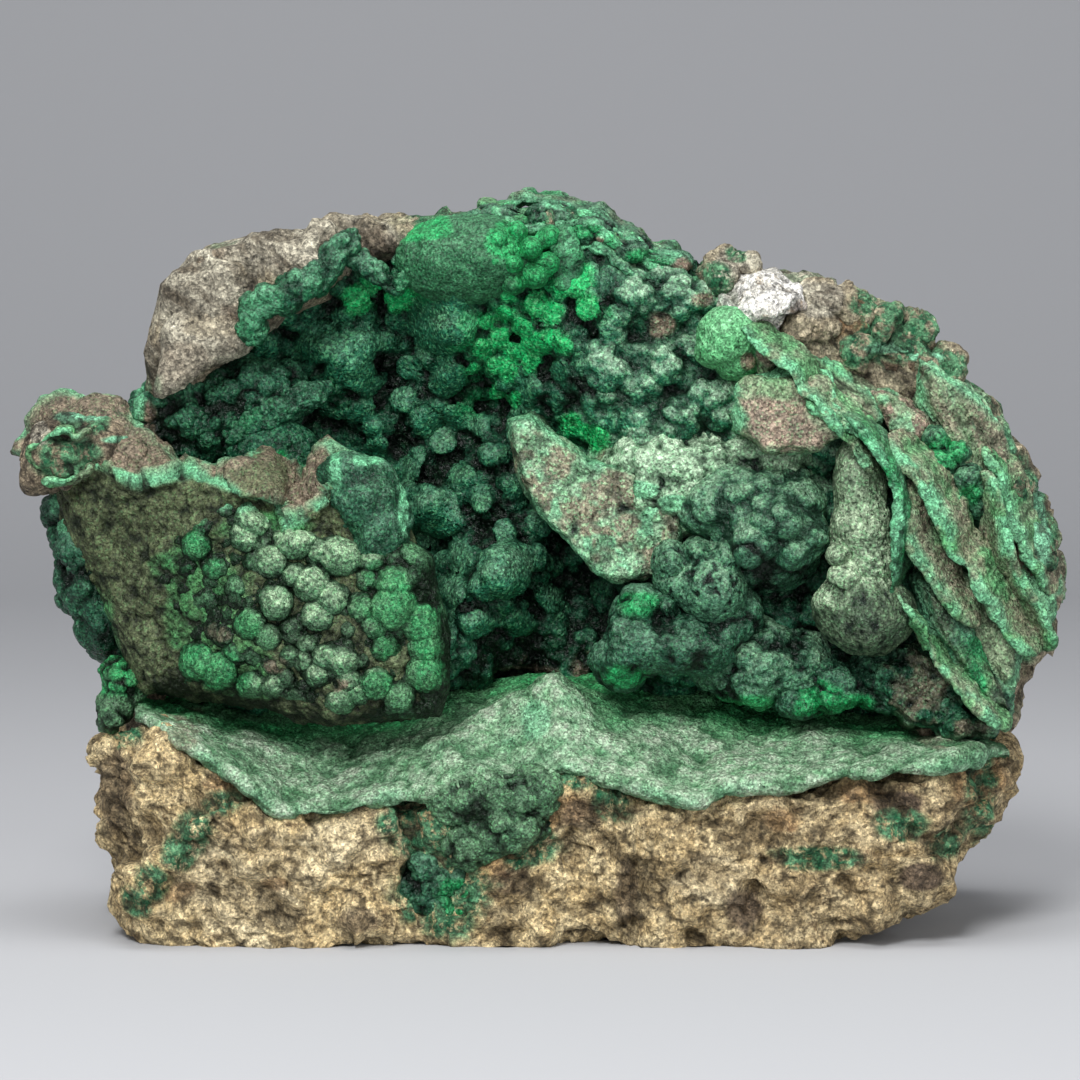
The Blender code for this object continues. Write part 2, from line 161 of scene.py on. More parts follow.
def add_mesh(name, points, quads, triangles, masks):
    """A smooth-shaded mesh in metres, with one number a point for each mask."""
    mesh = bpy.data.meshes.new(name)
    corners = np.concatenate([quads.ravel(), triangles.ravel()])
    starts = np.concatenate([np.arange(len(quads)) * 4, len(quads) * 4 + np.arange(len(triangles)) * 3])
    mesh.vertices.add(len(points))
    mesh.vertices.foreach_set("co", (points * MM).ravel())
    mesh.loops.add(len(corners))
    mesh.loops.foreach_set("vertex_index", corners)
    mesh.polygons.add(len(starts))
    mesh.polygons.foreach_set("loop_start", starts)
    mesh.update(calc_edges=True)
    mesh.polygons.foreach_set("use_smooth", np.ones(len(starts), bool))
    for mask, values in masks.items():
        mesh.attributes.new(mask, "FLOAT", "POINT").data.foreach_set("value", values)
    mesh.validate()
    return mesh


def loft(name, rings, finish, slot, **masks):
    """A closed piece: rings joined by quads, and each end ring joined to a pole at its middle."""
    rows, around = rings.shape[:2]
    points = np.concatenate([rings.reshape(-1, 3), [rings[0].mean(0)], [rings[-1].mean(0)]])
    row = np.arange(rows - 1)[:, None] * around
    here = np.arange(around)
    after = (here + 1) % around
    quads = np.stack([row + here, row + after, row + around + after, row + around + here], -1).reshape(-1, 4)
    first, last = rows * around, rows * around + 1
    ends = (rows - 1) * around
    triangles = np.concatenate([
        np.stack([after, here, np.full(around, first)], -1),
        np.stack([ends + here, ends + after, np.full(around, last)], -1),
    ])
    a, b, c, d = (points[quads[:, k]] for k in range(4))
    volume = (np.cross(b - a, c - a) * a).sum() + (np.cross(c - a, d - a) * a).sum()
    if volume < 0:
        quads, triangles = quads[:, ::-1], triangles[:, ::-1]
    carried = {}
    for mask, values in masks.items():
        values = np.broadcast_to(np.asarray(values, float), (rows, around))
        carried[mask] = np.concatenate([values.ravel(), [values[0].mean()], [values[-1].mean()]])
    piece = bpy.data.objects.new(name, add_mesh(name, points, quads, triangles, carried))
    bpy.context.scene.collection.objects.link(piece)
    piece.data.materials.append(finish)
    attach(piece, "root")
    return piece


def edge_distance(x, z, outline):
    """Distance in the front view from each point to the nearest edge of a closed outline."""
    corners = np.array(outline, float)
    best = np.full(np.shape(x), 1e9)
    for (x0, z0), (x1, z1) in zip(corners, np.roll(corners, -1, 0)):
        dx, dz = x1 - x0, z1 - z0
        t = np.clip(((x - x0) * dx + (z - z0) * dz) / (dx * dx + dz * dz), 0, 1)
        best = np.minimum(best, np.hypot(x - x0 - t * dx, z - z0 - t * dz))
    return best


def inside(x, z, outline):
    """True where a point of the front view lies in a closed outline, by counting crossings above it."""
    corners = np.array(outline, float)
    odd = np.zeros(np.shape(x), bool)
    for (x0, z0), (x1, z1) in zip(corners, np.roll(corners, -1, 0)):
        if x0 != x1:
            odd ^= ((x0 <= x) != (x1 <= x)) & (z < z0 + (x - x0) * (z1 - z0) / (x1 - x0))
    return odd


def within(x, z, outline, reach):
    """0 outside an outline, rising to 1 at a distance inside it."""
    return inside(x, z, outline) * smooth(edge_distance(x, z, outline), 0, reach)


def spans(outline, at):
    """Lowest and highest crossing of an outline with each upright line x = at."""
    corners = np.array(outline, float)
    ends = np.roll(corners, -1, 0)
    dx = np.where(ends[:, 0] == corners[:, 0], 1e-9, ends[:, 0] - corners[:, 0])
    t = (at[:, None] - corners[:, 0]) / dx
    z = corners[:, 1] + t * (ends[:, 1] - corners[:, 1])
    crossed = (t >= 0) & (t <= 1)
    return np.where(crossed, z, 1e9).min(1), np.where(crossed, z, -1e9).max(1)


def leaf(outline, front, back, columns, up, behind, edge):
    """Rings of a closed sheet seen from the front, one ring for each upright line across the outline.
    A ring climbs the front and comes down the back.  Depth passes from back to front by a quarter
    circle of the distance from the outline's edge."""
    xs = [p[0] for p in outline]
    x = np.linspace(min(xs) + 0.15, max(xs) - 0.15, columns)
    low, high = spans(outline, x)
    climb = np.linspace(0, 1, up)
    fall = np.linspace(1, 0, behind + 2)[1:-1]
    share = np.concatenate([climb, fall])
    z = low[:, None] + (high - low)[:, None] * share
    x = np.broadcast_to(x[:, None], z.shape)
    reach = np.clip(edge_distance(x, z, outline) / edge, 0, 1)
    swell = np.sqrt(1 - (1 - reach) ** 2)
    rear = back(x, z)
    ahead = rear + (front(x, z) - rear) * swell
    y = np.concatenate([ahead[:, :up], rear[:, up:]], 1)
    return np.stack([x, y, z], -1)


def beads(x, z, places, height=1.15):
    """Height of round beads (x, z, radius) seen from the front: the most of sqrt(r^2 - d^2), drawn out."""
    best = np.zeros(np.shape(x))
    for bx, bz, radius in places:
        best = np.maximum(best, radius**2 - (x - bx) ** 2 - (z - bz) ** 2)
    return height * np.sqrt(best)


FRONT_EASE = 0.6


def ball_rings(rows, around):
    """Directions over a ball, ring by ring from the pole at -X to the pole at +X.  The turn t about the
    X axis is eased to t - 0.6 sin t, which puts the points closest together at the front."""
    tilt = np.linspace(0, np.pi, rows + 2)[1:-1, None]
    turn = np.linspace(0, 2 * np.pi, around, endpoint=False)[None]
    turn = turn - FRONT_EASE * np.sin(turn) - np.pi / 2
    shape = (rows, around)
    return np.stack([
        np.broadcast_to(-np.cos(tilt), shape),
        np.sin(tilt) * np.sin(turn) * np.ones(shape),
        np.sin(tilt) * np.cos(turn) * np.ones(shape),
    ], -1)


LEAST_REACH = 2.0   # mm from a body's centre where a ray meets none of its ellipsoids


def cluster(centre, forms, rows, around, blend=14):
    """A body of joined ellipsoids about one centre.  In each direction the reach is the blended
    maximum, (sum of r^n)^(1/n), of the far crossings r of a ray with the ellipsoids."""
    ray = ball_rings(rows, around)
    reach = np.full(ray.shape[:2], LEAST_REACH) ** blend
    for place, radii in forms:
        radii = np.broadcast_to(np.asarray(radii, float), 3)
        start = (np.array(centre, float) - place) / radii
        step = ray / radii
        a = (step**2).sum(-1)
        b = (step * start).sum(-1)
        c = (start**2).sum() - 1
        root = b * b - a * c
        far = np.where(root > 0, (-b + np.sqrt(np.maximum(root, 0))) / a, 0)
        reach = reach + np.maximum(far, 0) ** blend
    return np.array(centre, float) + ray * (reach ** (1 / blend))[..., None]


RIBBON_CORNER = 0.6


def ribbon(path, widths, thicknesses, face, rows, around):
    """A bar along a path: flattened rings, wide along `across` and thick along the face's direction.
    The section is (|cos a|^0.6, |sin a|^0.6), squarer than an ellipse.  Width and thickness run to
    nothing at both ends by the square root of 1 - |2t - 1|^6."""
    path = np.array(path, float)
    steps = np.concatenate([[0], np.cumsum(np.linalg.norm(np.diff(path, axis=0), axis=1))])
    steps /= steps[-1]
    t = np.linspace(0.004, 0.996, rows)
    spine = np.stack([np.interp(t, steps, path[:, k]) for k in range(3)], -1)
    kernel = np.hanning(rows // 6 * 2 + 1)
    kernel /= kernel.sum()
    pad = len(kernel) // 2
    padded = np.concatenate([2 * spine[:1] - spine[pad:0:-1], spine, 2 * spine[-1:] - spine[-2:-pad - 2:-1]])
    spine = np.stack([np.convolve(padded[:, k], kernel, "valid") for k in range(3)], -1)
    along = np.gradient(spine, axis=0)
    along /= np.linalg.norm(along, axis=1, keepdims=True)
    across = np.cross(along, np.array(face, float))
    across /= np.linalg.norm(across, axis=1, keepdims=True)
    outer = np.cross(across, along)
    taper = np.clip(1 - np.abs(2 * t - 1) ** 6, 0.0004, 1) ** 0.5
    width = np.interp(t, np.linspace(0, 1, len(widths)), widths) * taper
    thick = np.interp(t, np.linspace(0, 1, len(thicknesses)), thicknesses) * taper
    angle = np.linspace(0, 2 * np.pi, around, endpoint=False)
    side = np.sign(np.cos(angle)) * np.abs(np.cos(angle)) ** RIBBON_CORNER
    rise = np.sign(np.sin(angle)) * np.abs(np.sin(angle)) ** RIBBON_CORNER
    return (spine[:, None] + across[:, None] * (width[:, None] * side)[..., None]
            + outer[:, None] * (thick[:, None] * rise)[..., None])


def round_section(front_share, count, power):
    """A rounded square from -1 to 1 in depth and height, |u|^n + |v|^n = 1, as `count` points.
    Their spacing is even, but front_share of them lie on the front half."""
    angle = np.linspace(0, 2 * np.pi, 4001)
    c, s = np.cos(angle), np.sin(angle)
    u = -np.sign(c) * np.abs(c) ** (2 / power)
    v = np.sign(s) * np.abs(s) ** (2 / power)
    density = np.where(u[1:] < -0.2, front_share, 1 - front_share)
    travel = np.concatenate([[0], np.cumsum(np.hypot(np.diff(u), np.diff(v)) * density)])
    at = np.interp(np.linspace(0, travel[-1], count, endpoint=False), travel, angle)
    return np.interp(at, angle, u), np.interp(at, angle, v)


def block(x0, x1, low, high, front, back, columns, count, front_share, power):
    """Rings of a rough slab that stands along X: rounded-square sections between its low and high lines
    and between its front and back faces, drawn together at its two ends by the same rounded square."""
    angle = np.linspace(0, np.pi, 4001)[1:-1]
    run = -np.sign(np.cos(angle)) * np.abs(np.cos(angle)) ** 0.25
    girth = np.sin(angle) ** 0.25
    travel = np.concatenate([[0], np.cumsum(np.hypot(np.diff(run) * (x1 - x0) / 2, np.diff(girth) * 30))])
    at = np.interp(np.linspace(0, travel[-1], columns), travel, angle)
    x = (x0 + x1) / 2 + np.interp(at, angle, run) * (x1 - x0) / 2
    girth = np.interp(at, angle, girth)[:, None]
    u, v = round_section(front_share, count, power)
    low, high = low(x), high(x)
    z = (low + high)[:, None] / 2 + (high - low)[:, None] / 2 * v * girth
    x = np.broadcast_to(x[:, None], z.shape)
    near, far = front(x, z), back(x, z)
    return np.stack([x, (near + far) / 2 + (far - near) / 2 * u * girth, z], -1)


def line(points):
    """A function that runs through (position, value) points by straight steps."""
    at, values = np.array(points, float).T
    return lambda x: np.interp(x, at, values)


def facing(rings):
    """How far each point of a closed loft faces up, from -1 to 1."""
    return outward(rings)[..., 2]


# ---------------------------------------------------------------- finishes

class Finish:
    """One node material.  Each helper adds a node and gives its output."""

    def __init__(self, name):
        self.material = bpy.data.materials.new(name)
        self.material.use_nodes = True
        self.nodes = self.material.node_tree.nodes
        self.links = self.material.node_tree.links
        self.shader = self.nodes["Principled BSDF"]
        self.place = self.nodes.new("ShaderNodeTexCoord").outputs["Object"]

    def feed(self, value, socket):
        """Links an output to a socket, or sets the socket to a colour or a number."""
        if isinstance(value, bpy.types.NodeSocket):
            self.links.new(value, socket)
        elif isinstance(value, tuple):
            socket.default_value = (*value, 1)
        else:
            socket.default_value = value

    def noise(self, size, detail=3.0, rough=0.6, warp=0.0, place=None):
        """Soft cloud, 0 to 1; size is the width in mm of its coarsest clumps."""
        node = self.nodes.new("ShaderNodeTexNoise")
        self.feed(place or self.place, node.inputs["Vector"])
        node.inputs["Scale"].default_value = 1 / (size * MM)
        node.inputs["Detail"].default_value = detail
        node.inputs["Roughness"].default_value = rough
        node.inputs["Distortion"].default_value = warp
        return node.outputs["Fac"]

    def grains(self, size, output="Distance"):
        """Crystal grains of a size in mm: distance from the grain's middle, or its own colour."""
        node = self.nodes.new("ShaderNodeTexVoronoi")
        self.feed(self.place, node.inputs["Vector"])
        node.inputs["Scale"].default_value = 1 / (size * MM)
        return node.outputs[output]

    def grain_value(self, size):
        """One number from 0 to 1 for each crystal grain: the brightness of its own colour."""
        return self.number("MULTIPLY", self.grains(size, "Color"), 1.0)

    def drawn_out(self, turn, share):
        """Places turned about the Y axis, then squeezed along Z, so that clouds are drawn out."""
        node = self.nodes.new("ShaderNodeMapping")
        node.inputs["Rotation"].default_value = (0, np.radians(turn), 0)
        self.links.new(self.place, node.inputs["Vector"])
        squeezed = self.nodes.new("ShaderNodeVectorMath")
        squeezed.operation = "MULTIPLY"
        squeezed.inputs[1].default_value = (1, 1, share)
        self.links.new(node.outputs["Vector"], squeezed.inputs[0])
        return squeezed.outputs["Vector"]

    def mask(self, name):
        """The piece's own numbers of that name."""
        node = self.nodes.new("ShaderNodeAttribute")
        node.attribute_name = name
        return node.outputs["Fac"]

    def number(self, how, a, b=0.0):
        node = self.nodes.new("ShaderNodeMath")
        node.operation = how
        self.feed(a, node.inputs[0])
        self.feed(b, node.inputs[1])
        return node.outputs[0]

    def between(self, value, low, high, to_low=0.0, to_high=1.0):
        """The value spread from the range low to high onto the range to_low to to_high, and cut there."""
        node = self.nodes.new("ShaderNodeMapRange")
        self.feed(value, node.inputs["Value"])
        for name, number in zip(("From Min", "From Max", "To Min", "To Max"), (low, high, to_low, to_high)):
            node.inputs[name].default_value = number
        return node.outputs["Result"]

    def blend(self, share, under, over, how="MIX"):
        node = self.nodes.new("ShaderNodeMix")
        node.data_type = "RGBA"
        node.blend_type = how
        self.feed(share, node.inputs["Factor"])
        self.feed(under, node.inputs[6])
        self.feed(over, node.inputs[7])
        return node.outputs[2]

    def times(self, colour, value):
        return self.blend(1.0, colour, value, "MULTIPLY")

    def bump(self, height, depth, strength=1.0):
        """Relief of a depth in mm, laid on whatever relief is there already."""
        node = self.nodes.new("ShaderNodeBump")
        node.inputs["Distance"].default_value = depth * MM
        node.inputs["Strength"].default_value = strength
        self.feed(height, node.inputs["Height"])
        if self.shader.inputs["Normal"].is_linked:
            self.links.new(self.shader.inputs["Normal"].links[0].from_socket, node.inputs["Normal"])
        self.links.new(node.outputs["Normal"], self.shader.inputs["Normal"])

    def lean(self, size, tilt):
        """Each crystal grain leans its own way: a share of its own colour, less a half, on the normal."""
        centred = self.nodes.new("ShaderNodeVectorMath")
        centred.operation = "SUBTRACT"
        centred.inputs[1].default_value = (0.5, 0.5, 0.5)
        self.links.new(self.grains(size, "Color"), centred.inputs[0])
        leaning = self.nodes.new("ShaderNodeVectorMath")
        leaning.operation = "MULTIPLY_ADD"
        leaning.inputs[1].default_value = (tilt, tilt, tilt)
        self.links.new(centred.outputs["Vector"], leaning.inputs[0])
        self.links.new(self.shader.inputs["Normal"].links[0].from_socket, leaning.inputs[2])
        unit = self.nodes.new("ShaderNodeVectorMath")
        unit.operation = "NORMALIZE"
        self.links.new(leaning.outputs["Vector"], unit.inputs[0])
        self.links.new(unit.outputs["Vector"], self.shader.inputs["Normal"])

    def finish(self, colour, roughness, specular):
        self.feed(colour, self.shader.inputs["Base Color"])
        self.feed(roughness, self.shader.inputs["Roughness"])
        self.shader.inputs["Specular IOR Level"].default_value = specular
        return self.material


MINT = (0.20, 0.50, 0.30)
EMERALD = (0.012, 0.38, 0.105)


DEEP_GREEN = (0.008, 0.17, 0.045)
RIM_GREEN = (0.07, 0.32, 0.14)
CRYSTAL_TILT = 0.9
CRUMB_TILT = 0.5


def shares(colour, red, green, blue):
    """A colour with each of its channels cut to its own share."""
    return (colour[0] * red, colour[1] * green, colour[2] * blue)


def malachite(name, crevice_shade_tone, body, pale, dust_highlight_tone, grain=0.45, gloss=0.30, bare=(0.27, 0.185, 0.135), painted_glint_strength=0.5):
    """Drusy malachite: clouded greens, near-black painted shade between the lumps, dust with a painted
    highlight on their crowns, painted glints on a few grains, and fine grains that each lean their own way
    and have their own brightness.  Masks: depth, dust, bright, bare, rim."""
    made = Finish(name)
    depth = made.mask("depth")
    crown = made.between(depth, 0.08, 0.62, 1.0, 0.0)
    colour = made.blend(made.between(made.noise(7, 4, 0.62), 0.36, 0.64), body, pale)
    # Dust together with a painted highlight: lighter on the crowns of the lumps and on faces turned up.
    dust_and_highlight = made.number("MULTIPLY", made.mask("dust_and_highlight"), made.between(made.noise(2.6, 4), 0.3, 0.6, 0.35, 1.0))
    dust_and_highlight = made.number("MULTIPLY", dust_and_highlight, made.between(crown, 0.0, 1.0, 0.2, 1.0))
    colour = made.blend(dust_and_highlight, colour, dust_highlight_tone)
    green = made.blend(made.between(made.noise(3), 0.35, 0.65), EMERALD, DEEP_GREEN)
    colour = made.blend(made.mask("bright"), colour, green)
    raw = made.blend(made.between(made.noise(3.5, 5, 0.7), 0.35, 0.65), bare, shares(bare, 0.4, 0.45, 0.45))
    colour = made.blend(made.mask("bare"), colour, raw)
    colour = made.blend(made.mask("rim"), colour, made.blend(made.noise(2.2), MINT, RIM_GREEN))
    # Painted shade: near-black down between the lumps, by the depth mask.
    colour = made.blend(made.between(depth, 0.38, 0.92), colour, crevice_shade_tone)
    colour = made.times(colour, made.between(made.grain_value(grain), 0.22, 0.78, 0.55, 1.45))
    colour = made.times(colour, made.between(made.noise(1.3, 4, 0.75), 0.36, 0.66, 0.65, 1.35))
    # Painted shade and highlight: darker down between the lumps, lighter on their crowns.
    colour = made.times(colour, made.between(depth, 0.05, 0.5, 1.12, 0.8))
    # Painted glints: a few grains lightened, fewer down between the lumps.
    painted_glint = made.between(made.grain_value(grain * 1.2), 0.64, 0.80, 0.0, painted_glint_strength)
    painted_glint_colour = shares(dust_highlight_tone, 0.45, 0.95, 0.62)
    colour = made.blend(made.number("MULTIPLY", painted_glint, made.between(depth, 0.2, 0.7, 1.0, 0.1)), colour,
                        painted_glint_colour, "ADD")
    made.bump(made.noise(2.4, 4, 0.65), 0.5, 0.8)
    made.bump(made.grains(1.0), 0.35, 0.8)
    made.bump(made.grains(grain), 0.2, 0.8)
    made.lean(grain * 1.1, CRYSTAL_TILT)
    rough = made.between(made.noise(1.5), 0.3, 0.7, gloss, gloss + 0.25)
    return made.finish(colour, rough, 0.24)


def host_rock(name, body, light, dark, grain=0.6, cream=(0.80, 0.75, 0.60), dull=(0.26, 0.22, 0.16)):
    """Granular host rock: three tones in clouds and crumbs, and near-black painted shade in the small
    hollows between them.  Masks: depth, pale, rust, brown, green, rim."""
    made = Finish(name)
    colour = made.blend(made.between(made.noise(7, 5, 0.7, 0.6), 0.42, 0.58), body, light)
    colour = made.blend(made.between(made.noise(4.5, 6, 0.8), 0.55, 0.63), colour, dark)
    streaks = made.noise(7, 6, 0.68, 0.4, made.drawn_out(52, 0.22))
    colour = made.blend(made.mask("pale"), colour, made.blend(made.between(streaks, 0.40, 0.62), cream, dull))
    rust = made.blend(made.noise(3, 4), (0.46, 0.2, 0.05), (0.17, 0.055, 0.02))
    colour = made.blend(made.mask("rust"), colour, rust)
    brown = made.blend(made.noise(4, 5), (0.20, 0.14, 0.09), (0.06, 0.043, 0.03))
    colour = made.blend(made.mask("brown"), colour, brown)
    greens = made.blend(made.between(made.noise(3, 4), 0.38, 0.58), (0.010, 0.10, 0.04), (0.12, 0.30, 0.15))
    veil = made.number("MULTIPLY", made.mask("green"), made.between(made.noise(3.5, 5, 0.75), 0.38, 0.50))
    colour = made.blend(veil, colour, greens)
    colour = made.blend(made.mask("rim"), colour, MINT)
    # Painted shade: the small hollows and dents drawn near-black by the depth mask.
    colour = made.blend(made.mask("depth"), colour, shares(dark, 0.2, 0.2, 0.2))
    colour = made.times(colour, made.between(made.grain_value(grain), 0.2, 0.8, 0.55, 1.45))
    colour = made.times(colour, made.between(made.noise(1.6, 5, 0.85), 0.38, 0.60, 0.3, 1.35))
    made.bump(made.noise(3.0, 6, 0.8), 1.4, 1.0)
    made.bump(made.grains(1.6), 0.8, 0.9)
    made.bump(made.grains(grain), 0.3, 0.9)
    made.lean(grain, CRUMB_TILT)
    return made.finish(colour, made.between(made.noise(2), 0.3, 0.7, 0.6, 0.9), 0.3)


CREVICE_SHADE = (0.0015, 0.007, 0.0035)
LINING = malachite("blue_green_druse", CREVICE_SHADE, (0.006, 0.078, 0.033), (0.015, 0.118, 0.062), (0.26, 0.38, 0.26))
# Painted shade: a darker copy of the blue-green druse, for the lumps that the lamps light too strongly.
DUSK = malachite("shaded_blue_green_druse", CREVICE_SHADE, (0.003, 0.040, 0.017), (0.008, 0.060, 0.031),
                 (0.15, 0.27, 0.18), painted_glint_strength=0.35)
LOBE = malachite("dark_green_druse", CREVICE_SHADE, (0.016, 0.09, 0.045), (0.04, 0.13, 0.075), (0.16, 0.25, 0.16))
CRUST = malachite("velvet_crust", (0.008, 0.05, 0.018), (0.06, 0.23, 0.085), (0.085, 0.23, 0.11),
                  (0.265, 0.325, 0.24), 0.42, 0.42)
VELVET = malachite("olive_velvet", (0.008, 0.014, 0.005), (0.050, 0.062, 0.028), (0.085, 0.105, 0.05),
                   (0.14, 0.18, 0.10), 0.42, 0.5, (0.22, 0.17, 0.12), 0.4)
GRAPE = malachite("sage_lumps", (0.003, 0.012, 0.004), (0.030, 0.085, 0.042), (0.068, 0.145, 0.076),
                  (0.235, 0.335, 0.205), 0.4, 0.35)
SHELF = malachite("mint_grey_lumps", CREVICE_SHADE, (0.09, 0.19, 0.10), (0.17, 0.29, 0.175), (0.38, 0.50, 0.35))
KNOB = malachite("mint_velvet", CREVICE_SHADE, (0.035, 0.215, 0.07), (0.09, 0.32, 0.13), (0.24, 0.43, 0.26), 0.42,
                 0.4, painted_glint_strength=0.25)
TONGUE = malachite("grey_olive_lumps", CREVICE_SHADE, (0.07, 0.12, 0.068), (0.13, 0.19, 0.11), (0.33, 0.42, 0.28))
DOME = malachite("green_velvet", CREVICE_SHADE, (0.009, 0.070, 0.028), (0.020, 0.110, 0.046), (0.11, 0.24, 0.135),
                 0.42, 0.38, painted_glint_strength=0.3)
FLANK = malachite("banded_flank", (0.006, 0.010, 0.004), (0.07, 0.12, 0.06), (0.17, 0.22, 0.13),
                  (0.30, 0.38, 0.25), 0.45, 0.5,
                  (0.34, 0.25, 0.19), 0.4)
OCHRE = host_rock("ochre_rock", (0.62, 0.465, 0.235), (0.78, 0.63, 0.36), (0.27, 0.19, 0.095), 0.6,
                  (0.86, 0.74, 0.48), (0.62, 0.49, 0.28))
BEIGE = host_rock("beige_rock", (0.30, 0.25, 0.165), (0.44, 0.38, 0.26), (0.12, 0.095, 0.06), 0.6,
                  (0.62, 0.58, 0.45), (0.13, 0.11, 0.08))
BROWN = host_rock("brown_rock", (0.20, 0.16, 0.11), (0.32, 0.26, 0.17), (0.07, 0.053, 0.035))
WHITE = host_rock("white_rock", (0.88, 0.85, 0.76), (0.95, 0.93, 0.88), (0.50, 0.43, 0.33))


# ---------------------------------------------------------------- the lie of the specimen

FLOOR_BACK = line( [(-95, 53), (-88, 52), (-66, 48), (-45, 46), (-23, 49), (14, 51), (30, 52), (54, 48),
                    (80, 47), (106, 42)])
FLOOR_FRONT = line( [(-95, 52), (-86, 50), (-75, 44), (-67, 39), (-57, 31), (-40, 31), (-26, 33), (-7, 31),
                     (4, 34.5), (18, 34.5), (33, 34), (42, 35.5), (57, 37), (68, 40), (79, 41), (101, 44)])
WALL_TOP = line( [(-96, 112), (-94, 121), (-90, 127), (-86, 132), (-84, 139), (-81, 152), (-71, 155),
                  (-53, 158), (-47, 161), (-25, 161.5), (-16, 162), (2, 163), (12, 159), (25, 152),
                  (29, 150), (36, 150), (42, 154), (50, 149), (62, 147), (71, 142), (81, 139), (88, 130),
                  (96, 122), (106, 112), (111, 98), (115, 86), (117, 76)])
LINING_OUTLINE = ((-91, 120), (-80, 124), (-73, 130), (-69, 136), (-66, 140), (-57, 142), (-50, 146),
                  (-44, 153), (-33, 156), (-20, 161), (-4, 162), (10, 158), (24, 152), (34, 151), (42, 146),
                  (54, 138), (64, 128), (75, 118), (84, 104), (87, 84), (86, 60), (84, 46), (40, 48),
                  (14, 49), (-23, 47), (-60, 46), (-90, 52), (-93, 80), (-93, 108))

SUNK_OUTLINE = (*LINING_OUTLINE[:21], (86, 20), (-88, 20), *LINING_OUTLINE[-3:])


def floor_height(x, y):
    """Height of the floor: back and front edge heights joined by a slope, with a hump and its ridge."""
    share = np.clip((-13 - y) / 37, -0.3, 1.1)
    away = np.hypot((x - 3) / np.where(x < 3, 19, 12), (y + 31) / 13)
    ridge = 5 * np.exp(-(((x + 14 + (y + 50) * 0.5) / 8) ** 2)) * smooth(-y, 30, 46)
    return FLOOR_BACK(x) * (1 - share) + FLOOR_FRONT(x) * share + 18 * np.exp(-(away**1.4)) + ridge


HOLLOW_MIDDLE = -30     # y of the middles of the hollow's two ellipsoids
HOLLOW_BLEND = 3        # mm over which the hollow's forms pass into one another


def hollow(x, z):
    """Depth of the hollow's wall: the deeper of a leaning plane and the far side of two ellipsoids,
    blended as b log(exp(y1 / b) + exp(y2 / b))."""
    left = np.clip(1 - ((x + 36) / 50) ** 2 - ((z - 100) / 48) ** 2, 0, None)
    low = np.clip(1 - ((x - 2) / 28) ** 2 - ((z - 70) / 30) ** 2, 0, None)
    bowl = np.maximum(HOLLOW_MIDDLE + 33 * np.sqrt(left), HOLLOW_MIDDLE + 32 * np.sqrt(low))
    plane = -21 - 0.09 * (x + 10) - 0.05 * (z - 110)
    return np.logaddexp(bowl / HOLLOW_BLEND, plane / HOLLOW_BLEND) * HOLLOW_BLEND


# Broad swellings of the hollow: x, z, radius along x, radius along z, rise.
HOLLOW_FORMS = (
    (-11, 74, 13, 15, 16), (-5, 80, 9, 8, 5), (-13, 98, 10, 13, 11), (-26, 99, 4.5, 9, 9),
    (-60, 108, 12, 8, 5), (-19, 132, 9, 9, 12), (-46, 122, 9, 8, 8), (-2, 128, 9, 10, 5),
    (12, 138, 10, 9, 6), (26, 130, 8, 7, 5), (14, 122, 9, 8, 7), (30, 118, 10, 7, 6), (26, 142, 9, 5, 6),
    (-44, 130, 9, 5, 6), (-34, 112, 8, 6, 5), (-24, 60, 10, 8, 6), (6, 62, 9, 8, 5), (24, 108, 8, 5, 4),
    (-8, 110, 7, 8, 5), (-24, 120, 7, 6, 6), (-34, 92, 8, 6, 5), (2, 118, 6, 6, 5), (38, 128, 6, 8, 4),
    (-72, 104, 8, 8, 5), (-16, 146, 14, 6, 8),
)

# Bright beads and larger balls on them: x, z, radius.
HOLLOW_BEADS = (
    (-13, 131, 2.6), (-9, 133, 2.9), (-6, 130, 2.6), (-3, 131.5, 2.4), (-10, 127, 2.6), (-7, 126, 2.6),
    (-2, 128, 2.6), (0, 132, 3.0), (-4, 135.5, 2.6), (-1, 141, 3.2), (2.5, 139, 2.8), (-6, 119.5, 2.4),
    (-10, 120.5, 2.4), (7, 146.5, 4.6), (10.5, 140, 3.2), (7, 114, 2.7), (10, 112.5, 2.0), (12.7, 111, 2.9),
    (-32, 141.7, 3.6), (-41, 141.7, 3.6), (-37, 146.4, 3.0), (-28, 145, 2.6), (-7, 143.5, 2.4),
    (3, 134, 2.0), (-15, 126, 2.0), (-12, 137, 2.2), (-8, 139, 2.2), (5, 132, 2.2),
)
HOLLOW_BALLS = (
    (-50, 132, 5.4), (-45, 130, 4.2), (-40, 131, 4.6), (-41, 125, 4.8), (-35, 132, 3.0), (-46, 125, 3.4),
    (-22, 137, 8.5), (-31, 119, 3.6), (-40, 116, 3.4), (-38, 112.5, 3.4), (-37, 108, 3.4), (-26, 114, 3.4),
    (-22, 109, 3.6), (-24, 93, 6.6), (-30, 92, 4.4), (-13, 96, 3.4), (-8, 81, 6.8), (-12, 78, 4.6),
    (-4, 83, 4.4), (-18, 84, 3.6), (-20, 76, 4.2), (-28, 82, 3.8), (-14, 69, 4.2), (-4, 68, 4.0),
    (2, 74, 3.4), (-22, 66, 3.8), (-18, 102, 3.6), (-30, 103, 3.6), (-12, 107, 3.4), (-18, 115, 4.0),
    (-58, 124, 4.4), (-66, 126, 3.6), (-62, 131, 3.6), (-30, 126, 3.6), (-28, 106, 3.0), (-6, 100, 3.2),
    (-8, 90, 3.4), (-1, 92, 3.0), (-33, 137, 3.0), (-14, 113, 3.2), (-5, 111, 3.2), (-2, 122, 3.2),
    (4, 126, 3.0), (-20, 124, 4.4), (-26, 98, 3.0), (-20, 92, 3.4),
)


